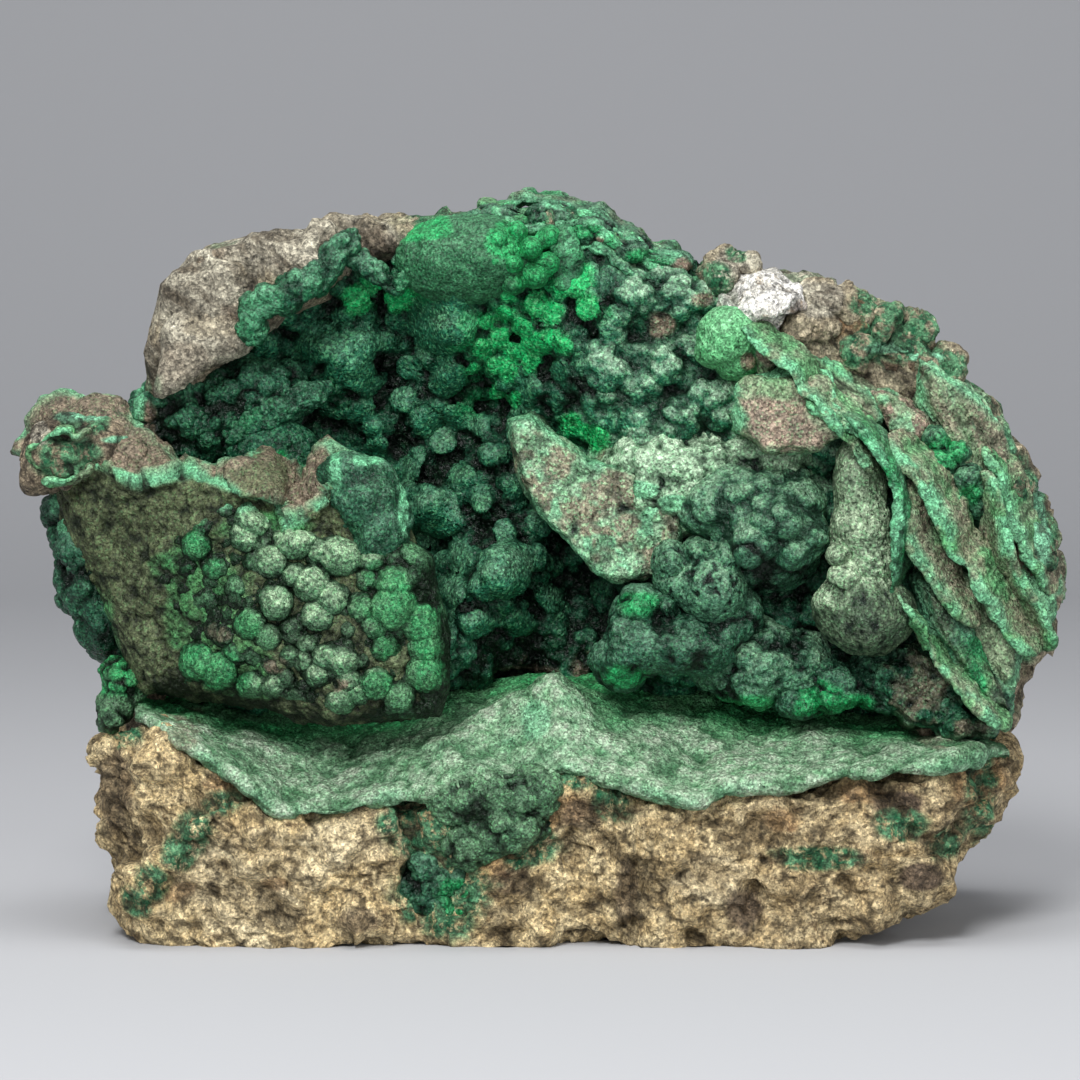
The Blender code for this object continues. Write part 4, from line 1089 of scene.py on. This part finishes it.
    body("panel", (-60, -18, 107),
         [((-60, -18, 107), (10.5, 7, 8.5))],
         DUSK, (2.6, 1.4), 86, 80, 820, 0.06, share=0.16, dark=0.6,
         green=[(-64, 105, 2.4, 2), (-58, 107, 1.6, 1.6), (-55, 103, 1.6, 1.6)], swell=0.6)
    body("green_gap_lumps", (94, -25, 104),
         [((89, -27, 106), (4, 8, 4)), ((95, -27, 102), (4, 8, 4)), ((98, -25, 96), (3.8, 8, 3.8)),
          ((88, -26, 111), (3.4, 8, 3.4)), ((92, -27, 97), (3.4, 8, 3.4)), ((101, -24, 91), (3.2, 7, 3.2)),
          ((93, -27, 108), (3, 7, 3)), ((97, -26, 99), (3, 8, 3))],
         LOBE, (2.2, 1.2), 100, 96, 840, 0.4, green=[(90, 108, 5, 4), (96, 99, 3, 3)], share=0.35, swell=0.9)
    body("low_left_lumps", (-93, -20, 56),
         [((-94, -22, 56), (5, 8, 6)), ((-96, -22, 50), (4, 7, 5))],
         GRAPE, (3, 1.6), 52, 50, 860, 0.2, green=[(-95, 58, 6, 5)])


def ledge(name, path, widths, thicknesses, finish, face, salt, rows=124, around=44, slot=LINING_SLOT,
          lumps=(2.4, 1.2), share=0.28, dust_and_highlight=0.25, rim=0.6, bare=0.6, bright=0.4, swell=0.5, sway=1.5):
    """A ribbon-like plate that wanders a little: its broad face bare, its front edge rimmed with mint."""
    rings = ribbon(path, widths, thicknesses, face, rows, around)
    middle = rings.mean(1, keepdims=True)
    rings = rings + np.stack([layers(middle, 10, 3, salt + 20 + k) for k in range(3)], -1) * sway
    middle = rings.mean(1, keepdims=True)
    facets = broken(rings, 5, 0.4, salt + 7) + 0.3
    rings = raised(rings, layers(rings, 5, 4, salt) * swell + facets * swell)
    rings, depth = lumpy(rings, lumps, salt, share)
    ahead = middle[..., 1] - rings[..., 1]
    tip = smooth(ahead, 0.3 * ahead.max(), 0.9 * ahead.max())
    masks = {
        # Painted shade between the lumps.
        "depth": depth * 0.6,
        "dust_and_highlight": dust_and_highlight * smooth(facing(rings), -0.2, 0.7),
        "bright": bright * smooth(layers(rings, 9, 3, salt + 5), 0.0, 0.4),
        "bare": bare * (1 - tip) * smooth(layers(rings, 6, 3, salt + 3), -0.35, 0.3),
        "rim": rim * tip * smooth(layers(rings, 4, 3, salt + 9), -0.6, 0.1),
    }
    return loft(name, rings, finish, slot, **masks)


def plate(name, outline, face, thick, finish, salt, slot=LINING_SLOT, columns=94, up=108, grain=None,
          chip=1.0, bare=0.8, edge=3.0, rim=0.8, rim_width=1.3, dust_and_highlight=0.4, green=(), share=0.22):
    """A broken plate: a closed sheet within an outline of the front view.  Its face is a plane, given by
    depth, slope along X and slope along Z, with relief drawn out along a grain direction (x, z)."""
    centre = np.array(outline, float).mean(0)
    depth, slope_x, slope_z = face

    def front(x, z):
        return depth + slope_x * (x - centre[0]) + slope_z * (z - centre[1])

    rings = leaf(outline, front, lambda x, z: front(x, z) + thick, columns, up, behind=14, edge=edge)
    run_x, run_z = grain or (1, 0)
    length = 0.22 if grain else 1.0
    drawn = np.stack([rings[..., 0] * run_z - rings[..., 2] * run_x, rings[..., 1],
                      (rings[..., 0] * run_x + rings[..., 2] * run_z) * length], -1)
    relief = broken(drawn, 6, 0.6, salt) - broken(drawn, 3.5, 0.5, salt + 4) + layers(drawn, 5, 4,
        salt + 8) * 0.9
    rings = raised(rings, relief * chip + 0.3)
    rings, gap_shade = lumpy(rings, (3.0, 1.4), salt, share)
    x, z = rings[..., 0], rings[..., 2]
    near = np.exp(-((edge_distance(x, z, outline) / rim_width) ** 2))
    near = near * smooth(layers(rings, 6, 3, salt + 12), -0.5, 0.0)
    raised_edges = smooth(relief, 0.5, 1.3) * smooth(layers(drawn, 4, 3, salt + 20), 0.0, 0.3)
    masks = {
        # Painted shade between the lumps and in the hollows of the relief.
        "depth": np.clip(gap_shade * 0.55 + 0.5 * smooth(-relief, 0.2, 1.6), 0, 1),
        "dust_and_highlight": dust_and_highlight * smooth(facing(rings), -0.3, 0.6),
        "bright": 0.5 * spots(rings, green),
        "bare": bare * smooth(layers(drawn, 5, 3, salt + 16), -0.35, 0.15),
        "rim": rim * np.maximum(near, 0.8 * raised_edges),
    }
    return loft(name, rings, finish, slot, **masks)


STEEP = (0.42, -0.91)


def plates():
    """The broken patch, the plates and ledges of the right flank, the ledges along the top, and the rolls."""
    plate("broken_patch",
          ((-7, 115), (-2, 116), (4, 111), (11, 106), (19, 105), (27, 101), (32, 95), (31, 86), (26, 80),
           (16, 79.5), (11, 82), (7, 87), (2, 92), (-3, 99), (-6, 107)),
          (-31.5, -0.02, 0.10), 10, SHELF, 865, columns=108, up=108, bare=0.7, dust_and_highlight=0.5, rim_width=1.0,
          chip=0.35, edge=1.4)
    plate("flank_plate",
          ((75, 113), (81, 104), (86, 95), (92, 88), (98, 79), (103, 71), (107, 65), (106, 59), (103, 54),
           (98, 61), (93, 68), (88, 75), (83, 83), (81, 93), (78, 103)),
          (-34, -0.25, 0.0), 15, FLANK, 880, grain=STEEP, columns=130, up=144, chip=1.1)
    plate("outer_plate",
          ((84, 130), (90, 125), (99, 119), (104, 113), (106, 108), (107, 99), (112, 90), (116, 82),
           (117, 75), (114, 66), (109, 68), (105, 77), (102, 86), (99, 95), (94, 102), (89, 110), (85, 119)),
          (-27, 0.35, 0.05), 15, FLANK, 900, slot=ROCK_SLOT, grain=STEEP, columns=136, up=158, chip=1.2,
          bare=0.6)
    plate("green_plate",
          ((83, 81), (90, 77), (97, 70), (101, 62), (106, 54), (105, 49), (99, 52), (94, 57), (90, 64),
           (86, 71)),
          (-40, 0.3, 0.1), 12, LOBE, 920, grain=STEEP, bare=0.3, rim_width=0.8, rim=0.6,
          green=[(97, 62, 6, 8)], chip=0.8, dust_and_highlight=0.5)
    plate("wedge",
          ((74, 60), (80, 65), (86, 64), (90, 61), (94, 55), (99, 51), (104, 48), (99, 45), (91, 45),
           (83, 47), (76, 52)),
          (-36, 0.1, 0.3), 14, DUSK, 940, bare=0.45, rim_width=0.7, rim=0.4, share=0.4, dust_and_highlight=0.1)
    plate("pink_face",
          ((73, 122), (78, 122), (87, 116), (89, 113), (84, 109), (78, 112), (75, 117)),
          (-31, 0.2, 0.2), 10, FLANK, 960, bare=1.0, columns=64, up=64, chip=0.5, rim_width=0.8)
    plate("crest_plate",
          ((44, 140), (52, 136), (60, 131), (68, 125), (75, 120), (76, 115), (70, 113), (64, 117), (56, 124),
           (48, 130)),
          (-33, 0.1, 0.5), 12, FLANK, 970, grain=(0.77, -0.64), columns=100, up=80, bare=0.3, rim_width=0.9,
          green=[(60, 128, 8, 6)])
    ledge("mint_blade",
          [(66, -39, 117), (71, -41, 116), (74.5, -42, 112), (77.5, -42, 105), (79.5, -42, 97),
           (80, -42, 88), (79.5, -41, 80), (79, -40, 76)],
          (7, 8, 8, 6), (0.6, 1.1, 1.3, 0.6), DOME, (1, -0.3, 0.5), 980, 136, 42, rim=0.8, bare=0.1,
          dust_and_highlight=0.8)
    ledge("blade_foot",
          [(78, -40, 79), (81, -40, 74), (86, -39, 65)],
          (6, 6, 5), (0.6, 0.8, 0.6), FLANK, (1, 0, 0.6), 990, 68, 36)
    ledge("crest",
          [(45, -33, 137), (52, -37, 132), (58, -39, 127), (64, -40, 122), (69, -40, 117), (74, -40, 112)],
          (6, 7, 6), (0.5, 0.8, 0.6), FLANK, (0.7, -0.6, 1), 1000, 112, 36, rim=0.9, bare=0.1)
    ledge("crest_low",
          [(60, -39, 122), (66, -40, 117), (71, -41, 111), (75, -41, 104)],
          (5, 6, 5), (0.4, 0.6, 0.4), FLANK, (0.9, -0.5, 0.6), 1005, 82, 36, rim=0.9, bare=0.2)
    ledge("gap_edge_left",
          [(79, -36, 113), (85, -38, 105), (91, -38, 96), (98, -37, 82), (105, -36, 72), (110, -34, 65)],
          (8, 8, 7, 7), (0.7, 1.0, 1.0, 0.7), FLANK, (1, -0.7, 0.7), 1010, 128, 36, rim=0.9)
    ledge("gap_edge_inner",
          [(77, -38, 108), (82, -39, 98), (86, -40, 90), (91, -40, 80), (97, -39, 71)],
          (6, 7, 6), (0.4, 0.7, 0.5), FLANK, (1, -0.8, 0.6), 1020, 112, 36, rim=0.7)
    ledge("gap_edge_right",
          [(97, -30, 103), (100, -33, 96), (101.5, -34, 88), (105, -34, 79), (110, -33, 72), (113, -31, 65)],
          (7, 7, 6, 5), (0.6, 0.9, 0.9, 0.6), FLANK, (1, 0.4, 0.5), 1030, 112, 36, rim=0.9)
    ledge("outer_rim",
          [(99, -26, 112), (104, -27, 104), (107, -27, 94), (112, -26, 84), (115, -24, 76)],
          (5, 6, 5), (0.4, 0.7, 0.5), FLANK, (1, -0.7, 0.4), 1040, 98, 36, rim=0.8)
    ledge("low_edge",
          [(88, -38, 67), (91, -40, 61), (96, -40, 54), (104, -38, 48)],
          (7, 7, 5), (0.6, 0.8, 0.6), FLANK, (1, -0.5, 0.9), 1050, 82, 36, rim=0.8, bare=0.1)
    for k, (back, lift) in enumerate(((0, 0), (-3, -3.2), (-5, -6.0))):
        ledge(f"top_ledge_{k}",
              [(-14, -12 + back, 164 + lift), (1, -14 + back, 164 + lift), (13, -15 + back, 161 + lift),
               (25, -16 + back, 153.5 + lift), (35, -16 + back, 150 + lift)],
              (6, 8, 7, 5), (0.6, 1.0, 0.9, 0.6), DOME if k == 1 else LOBE, (0.25, -0.15, 1), 1070 + 10 * k,
              slot=ROCK_SLOT, bare=0.3, dust_and_highlight=0.5, sway=2.0, lumps=(3, 1.4), share=0.35)
    body("crest_lumps", (10, -20, 156),
         [((2, -20, 160), (7, 7, 4)), ((11, -21, 157), (7, 7, 4)), ((20, -20, 152.5), (6, 7, 4)),
          ((28, -19, 149.5), (6, 7, 3.5)), ((-8, -18, 161), (6, 6, 3))],
         DUSK, (3.6, 1.6), 106, 104, 1090, 0.5, slot=ROCK_SLOT, green=[(8, 157, 6, 2), (24, 151, 5, 2)],
         share=0.5, swell=1.0, rim=[(4, 163, 5, 1), (17, 156, 4, 1), (28, 152, 4, 0.8)],
         bare=[(14, 154, 3, 2), (32, 149, 2, 2)])
    ledge("ring_arc",
          [(3, -28, 158), (6, -30, 154), (7, -30, 149), (4, -30, 145)],
          (3, 3, 3), (0.7, 1.0, 0.7), DOME, (0, -1, 0), 1110, 82, 28, bare=0, rim=0.3)
    ledge("roll_one",
          [(-42, -27, 158), (-45, -29, 152), (-49, -31, 146.5), (-56, -32, 143), (-63, -32, 140),
           (-66, -30, 134), (-64, -28, 130)],
          (2.8, 3.8, 3.2), (2.8, 3.8, 3.2), DUSK, (0, -1, 0), 1130, 128, 56, bare=0, rim=0.25, bright=0.1,
          dust_and_highlight=0.5, lumps=(3.6, 1.6), share=0.5)
    ledge("roll_two",
          [(-45, -25, 156), (-42, -27, 150), (-37, -28, 147), (-33, -28, 145), (-30, -27, 148),
           (-32, -25, 151)],
          (1.8, 2.2, 1.8), (1.8, 2.2, 1.8), DUSK, (0, -1, 0), 1150, 112, 48, bare=0, rim=0.25, bright=0.2,
          dust_and_highlight=0.5, lumps=(3.0, 1.4), share=0.5)
    ledge("panel_ridge",
          [(-71, -20, 112), (-63, -22, 116), (-54, -22, 119), (-47, -19, 122)],
          (2.4, 2.8, 2.2), (0.9, 1.2, 0.9), DUSK, (0, -1, 0), 1170, 98, 42, bare=0, rim=0.1, bright=0.15,
          lumps=(2.4, 1.3), share=0.4)
    for k, path in enumerate( ([(-112, -33, 105), (-110, -35, 111), (-104, -35, 113.5), (-97, -35, 112)],
                               [(-108, -34, 100), (-103, -35, 101.5), (-99, -35, 106)])):
        ledge(f"knuckle_seam_{k}",
              path,
              (2.0, 2.6, 1.8), (0.35, 0.5, 0.35), FLANK, (0.4, 0, 1), 1190 + 10 * k, 56, 24, bare=0.2,
              rim=0.7, sway=2.6)


def stones():
    """The rock at the right end, and the knuckle at the flap's tip."""
    stone("outer_flank", (108, -12, 86),
          [((105, -14, 98), (6, 12, 11)), ((110, -12, 83), (6, 13, 14)), ((107, -12, 70), (6, 12, 9))],
          BEIGE, 100, 110, 1400, 0.7, green=[(106, 98, 8, 10), (112, 80, 6, 14), (104, 66, 8, 8)],
          brown=[(110, 88, 6, 14)], rim=[(112, 92, 2, 8), (108, 72, 4, 3)])
    stone("knuckle", (-106, -26, 110),
          [((-107, -26, 110), (9, 9, 7.5)), ((-100, -26, 110), (8, 8, 6)), ((-112, -23, 105), (4.5, 8, 5))],
          BROWN, 90, 90, 1480, 0.5, green=[(-106, 107, 8, 6), (-102, 115, 6, 3)], pale=[(-111, 112, 3, 3)],
          rim=[(-104, 116, 6, 1.2), (-92, 111, 5, 1)])


def chipped(centre, sides, power, rows, around):
    """A stone of flat sides (outward direction, distance) about a centre.  In each direction the reach is
    (sum of (ray . side / distance)^n)^(-1/n), so that a low power n softens its corners."""
    ray = ball_rings(rows, around)
    reach = np.zeros(ray.shape[:2])
    for direction, distance in sides:
        direction = np.array(direction, float)
        direction /= np.linalg.norm(direction)
        reach = reach + (np.maximum((ray * direction).sum(-1), 0) / distance) ** power
    return np.array(centre, float) + ray * (reach ** (-1 / power))[..., None]


def rubble(name, blocks, finish, salt, **patches):
    """Small angular blocks (centre, radii) grown into the wall: each is cut by 14 flat sides, whose
    directions climb a spiral about the Z axis and whose distances suit an ellipsoid of those radii."""
    for k, (centre, radii) in enumerate(blocks):
        step = np.arange(14) + 0.5
        rise = 1 - step / 7
        turn = step * 2.4 + 1.3 * k + salt
        flat = np.sqrt(1 - rise**2)
        ways = np.stack([flat * np.cos(turn), flat * np.sin(turn), rise], -1)
        far = np.linalg.norm(ways * np.array(radii, float), axis=1) * (0.78 + 0.2
            * np.sin(step * 5 + k + salt))
        rings = chipped(centre, list(zip(ways, far)), 30, 54, 56)
        relief = broken(rings, 5, 0.7, salt + 9 * k) - broken(rings, 3, 0.6, salt + 9 * k + 4)
        relief = relief + layers(rings, 4, 4, salt) * 0.8
        rings = raised(rings, relief + caps(rings, 1.4, salt + 5) * 0.3 + 0.2)
        masks = {patch: spots(rings, patches.get(patch, ())) for patch in ROCK_PATCHES}
        # Painted shade in the hollows of the broken faces.
        loft(f"{name}_{k}", rings, finish, ROCK_SLOT, depth=0.6 * smooth(-relief, 0.3, 1.4), **masks)


def flat_stones():
    """Stones broken along flat faces: the pale one at the top left, the white one and its neighbours."""
    rubble("cap_stone",
           [((40, -21, 147), (5, 8, 4.5)), ((44, -19, 150), (4.5, 7, 3.4))],
           BEIGE, 1700, green=[(38, 146, 5, 5), (44, 152, 3, 2)], pale=[(44, 149, 7, 5)])
    rubble("tan_stone",
           [((63, -21, 141), (6, 8, 5)), ((70, -19, 139), (6, 8, 4.5)), ((60, -24, 136), (6, 7, 4))],
           BEIGE, 1720, pale=[(62, 142, 6, 4)], green=[(72, 141, 4, 3)])
    rubble("green_stone",
           [((77, -18, 137), (6, 8, 5)), ((84, -16, 134), (5, 8, 4.5)), ((80, -20, 129), (7, 8, 5)),
            ((90, -16, 125), (6, 9, 6)), ((71, -22, 130), (6, 8, 5))],
           BEIGE, 1750, green=[(80, 135, 12, 7), (90, 127, 6, 4), (70, 130, 6, 3)],
           rim=[(78, 131, 5, 1), (86, 129, 4, 1)], brown=[(82, 126, 8, 3)])
    rings = chipped((-68, -8, 140),
                    [((-0.963, 0, 0.271), 11.6), ((-0.187, 0, 0.982), 14.2), ((-0.12, -1, 0.22), 22.5),
                     ((0.30, -1, -0.25), 23), ((0.555, 0, -0.832), 7), ((1, 0.1, 0.2), 22),
                     ((0, 1, 0.1), 26), ((-0.6, -0.7, 0.35), 27), ((0.1, 0.4, 1), 17),
                     ((0.7, -0.7, 0.2), 23)],
                    40, 130, 120)
    relief = broken(rings, 13, 0.5, 1600) - broken(rings, 8, 0.45, 1604) + layers(rings, 8, 5, 1608) * 0.9
    crumbs = caps(rings, 1.6, 1612)
    rings = raised(rings, relief * 0.7 + crumbs * 0.2)
    masks = {
        # Painted shade in the hollows of the broken faces and between the crumbs.
        "depth": 0.6 * smooth(-relief, 0.3, 2.2) + 0.25 * (1 - smooth(crumbs / 1.6, 0.2, 0.7)),
        "pale": 0.9 - 0.5 * spots(rings, [(-58, 140, 9, 3), (-70, 136, 8, 3)]),
        "brown": 0.5 * spots(rings, [(-80, 128, 8, 5), (-60, 139, 12, 3)]),
        "green": 0.5 * spots(rings, [(-90, 124, 5, 5), (-76, 155, 8, 2), (-84, 148, 2, 6)]),
        "rust": 0.2 * spots(rings, [(-76, 152, 8, 3)]),
        "rim": 0 * relief,
    }
    loft("pale_stone", rings, BEIGE, ROCK_SLOT, **masks)
    rings = chipped((49.5, -26, 141),
                    [((-0.3, -1, 0.3), 9), ((0.45, -0.9, 0.1), 9.5), ((0.1, -0.4, -1), 6),
                     ((-0.5, -0.2, 1), 6.5), ((0.25, -0.1, 1), 5.5), ((1, 0, 0.2), 9), ((-1, 0, -0.3), 8),
                     ((0.6, 0, -1), 6), ((0, 1, 0), 12)],
                    40, 86, 84)
    relief = broken(rings, 6, 0.7, 1620) - broken(rings, 4, 0.6, 1624) + layers(rings, 5, 4, 1628) * 0.8
    rings = raised(rings, relief + 0.3)
    # Painted shade in the hollows of the broken faces.
    loft("white_stone", rings, WHITE, ROCK_SLOT, depth=0.6 * smooth(-relief, 0.4, 1.6), pale=0, brown=0,
         rim=0,
         green=0.5 * spots(rings, [(41, 141, 3, 5)]), rust=0.3 * spots(rings, [(58, 139, 3, 3)]))


def pebble():
    """A stone of flat sides with softened corners held in the malachite, rimmed with mint."""
    sides = [((-1, -0.1, 0), 9.5), ((0, -0.1, 1), 7.5), ((0.9, -0.2, 0.35), 10), ((0.6, 0, -0.8), 8.8),
             ((-0.65, -0.1, -0.75), 8.5), ((0.1, 0, -1), 7.5), ((0, -1, 0.15), 7.5),
             ((0.6, -0.2, 0.8), 10.3), ((0, 1, 0), 10), ((-0.75, -0.1, 0.7), 11)]
    rings = chipped((54.5, -34, 117.0), sides, 34, 96, 90)
    rings = raised(rings, broken(rings, 7, 0.5, 1520) + broken(rings, 3, 0.5, 1522) + layers(rings, 5, 4,
        1524) * 0.8
                   + caps(rings, 1.5, 1530) * 0.3 + 0.4)
    face = smooth(-outward(rings)[..., 1], 0.35, 0.7)
    away = np.maximum(np.abs(rings[..., 0] - 54.5) / 11, np.abs(rings[..., 2] - 117) / 9.5)
    away = away + 0.15 * layers(rings, 5, 3, 1540)
    cracks = smooth(-broken(rings, 3, 0.5, 1522), 0.2, 0.8)
    grown_over = spots(rings, [(50, 123, 9, 4), (62, 120, 4, 6)])
    masks = {
        "bare": 0.95 * face * (1 - smooth(away, 0.78, 0.9)) * (1 - 0.75 * grown_over),
        "rim": 0.8 * smooth(away, 0.88, 0.98) * (1 - smooth(away, 1.05, 1.2)),
        # Painted shade in the cracks.
        "depth": 0.7 * cracks,
        "dust_and_highlight": 0.3 * face,
        "bright": 0.25 * spots(rings, [(52, 123, 8, 3)]),
    }
    return loft("pebble", rings, FLANK, LINING_SLOT, **masks)


# ---------------------------------------------------------------- the room

ROOM_BEND = 600         # mm, radius of the bend from floor to backdrop
LAMP_AIM = (0, 0, 0.08)
CAMERA_DISTANCE = 1.15  # m
CAMERA_TILT = 4         # degrees above the horizon
CAMERA_TARGET = 0.0864  # m above the floor
FRAME_WIDTH = 0.2469    # m across the frame, at the target
SENSOR_WIDTH = 36       # mm


def room():
    """A plain pale floor that runs up into a plain pale backdrop."""
    bend = np.linspace(0, np.pi / 2, 12)[1:]
    y = np.concatenate([np.linspace(-3000, 900, 14), 900 + ROOM_BEND * np.sin(bend), [900 + ROOM_BEND]])
    z = np.concatenate([np.zeros(14), ROOM_BEND - ROOM_BEND * np.cos(bend), [4000]])
    x = np.linspace(-4000, 4000, 9)
    across = len(x)
    grid = (len(y), across)
    points = np.stack([np.broadcast_to(x, grid), np.broadcast_to(y[:, None], grid),
                       np.broadcast_to(z[:, None], grid)], -1).reshape(-1, 3)
    row = np.arange(len(y) - 1)[:, None] * across
    here = np.arange(across - 1)
    quads = np.stack([row + here, row + here + 1, row + across + here + 1, row + across + here], -1)
    quads = quads.reshape(-1, 4)
    floor = bpy.data.objects.new("floor", add_mesh("floor", points, quads, np.zeros((0, 3), int), {}))
    bpy.context.scene.collection.objects.link(floor)
    pale = bpy.data.materials.new("pale_floor")
    pale.use_nodes = True
    shader = pale.node_tree.nodes["Principled BSDF"]
    shader.inputs["Base Color"].default_value = (0.42, 0.425, 0.44, 1)
    shader.inputs["Roughness"].default_value = 0.85
    floor.data.materials.append(pale)


def lamp(name, place, size, power):
    """A soft square lamp, turned to the middle of the specimen."""
    light = bpy.data.lights.new(name, "AREA")
    light.size = size
    light.energy = power
    stood = bpy.data.objects.new(name, light)
    stood.location = place
    stood.rotation_euler = (Vector(LAMP_AIM) - Vector(place)).to_track_quat("-Z", "Y").to_euler()
    bpy.context.scene.collection.objects.link(stood)


def camera():
    """A long lens 1.15 m away, four degrees above the horizon."""
    tilt = np.radians(CAMERA_TILT)
    lens = bpy.data.cameras.new("camera")
    lens.sensor_width = SENSOR_WIDTH
    lens.lens = SENSOR_WIDTH * CAMERA_DISTANCE / FRAME_WIDTH
    eye = bpy.data.objects.new("camera", lens)
    target = Vector((0, 0, CAMERA_TARGET))
    away, above = float(np.cos(tilt)), float(np.sin(tilt))
    eye.location = target + Vector((0, -CAMERA_DISTANCE * away, CAMERA_DISTANCE * above))
    eye.rotation_euler = (target - eye.location).to_track_quat("-Z", "Y").to_euler()
    bpy.context.scene.collection.objects.link(eye)
    bpy.context.scene.camera = eye


camera()
room()
lamp("key", (-0.3, -1.2, 0.98), 0.5, 24)
lamp("low", (0.1, -1.5, 0.2), 0.6, 4)
lamp("right", (1.0, -0.9, 0.6), 0.7, 5)
lamp("top", (0.0, -0.15, 1.2), 0.7, 9)
world = bpy.data.worlds.new("soft_room")
world.use_nodes = True
world.node_tree.nodes["Background"].inputs["Color"].default_value = (0.9, 0.93, 1, 1)
world.node_tree.nodes["Background"].inputs["Strength"].default_value = 0.25
bpy.context.scene.world = world
bpy.context.scene.view_settings.view_transform = "Standard"

rock = base_rock()
wall_rock()
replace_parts(rock, "host_rock")
lining = hollow_lining()
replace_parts(lining, "malachite_lining")
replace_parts(crust(), "malachite_floor_crust")
flap()
grape_mass()
masses()
plates()
stones()
flat_stones()
pebble()
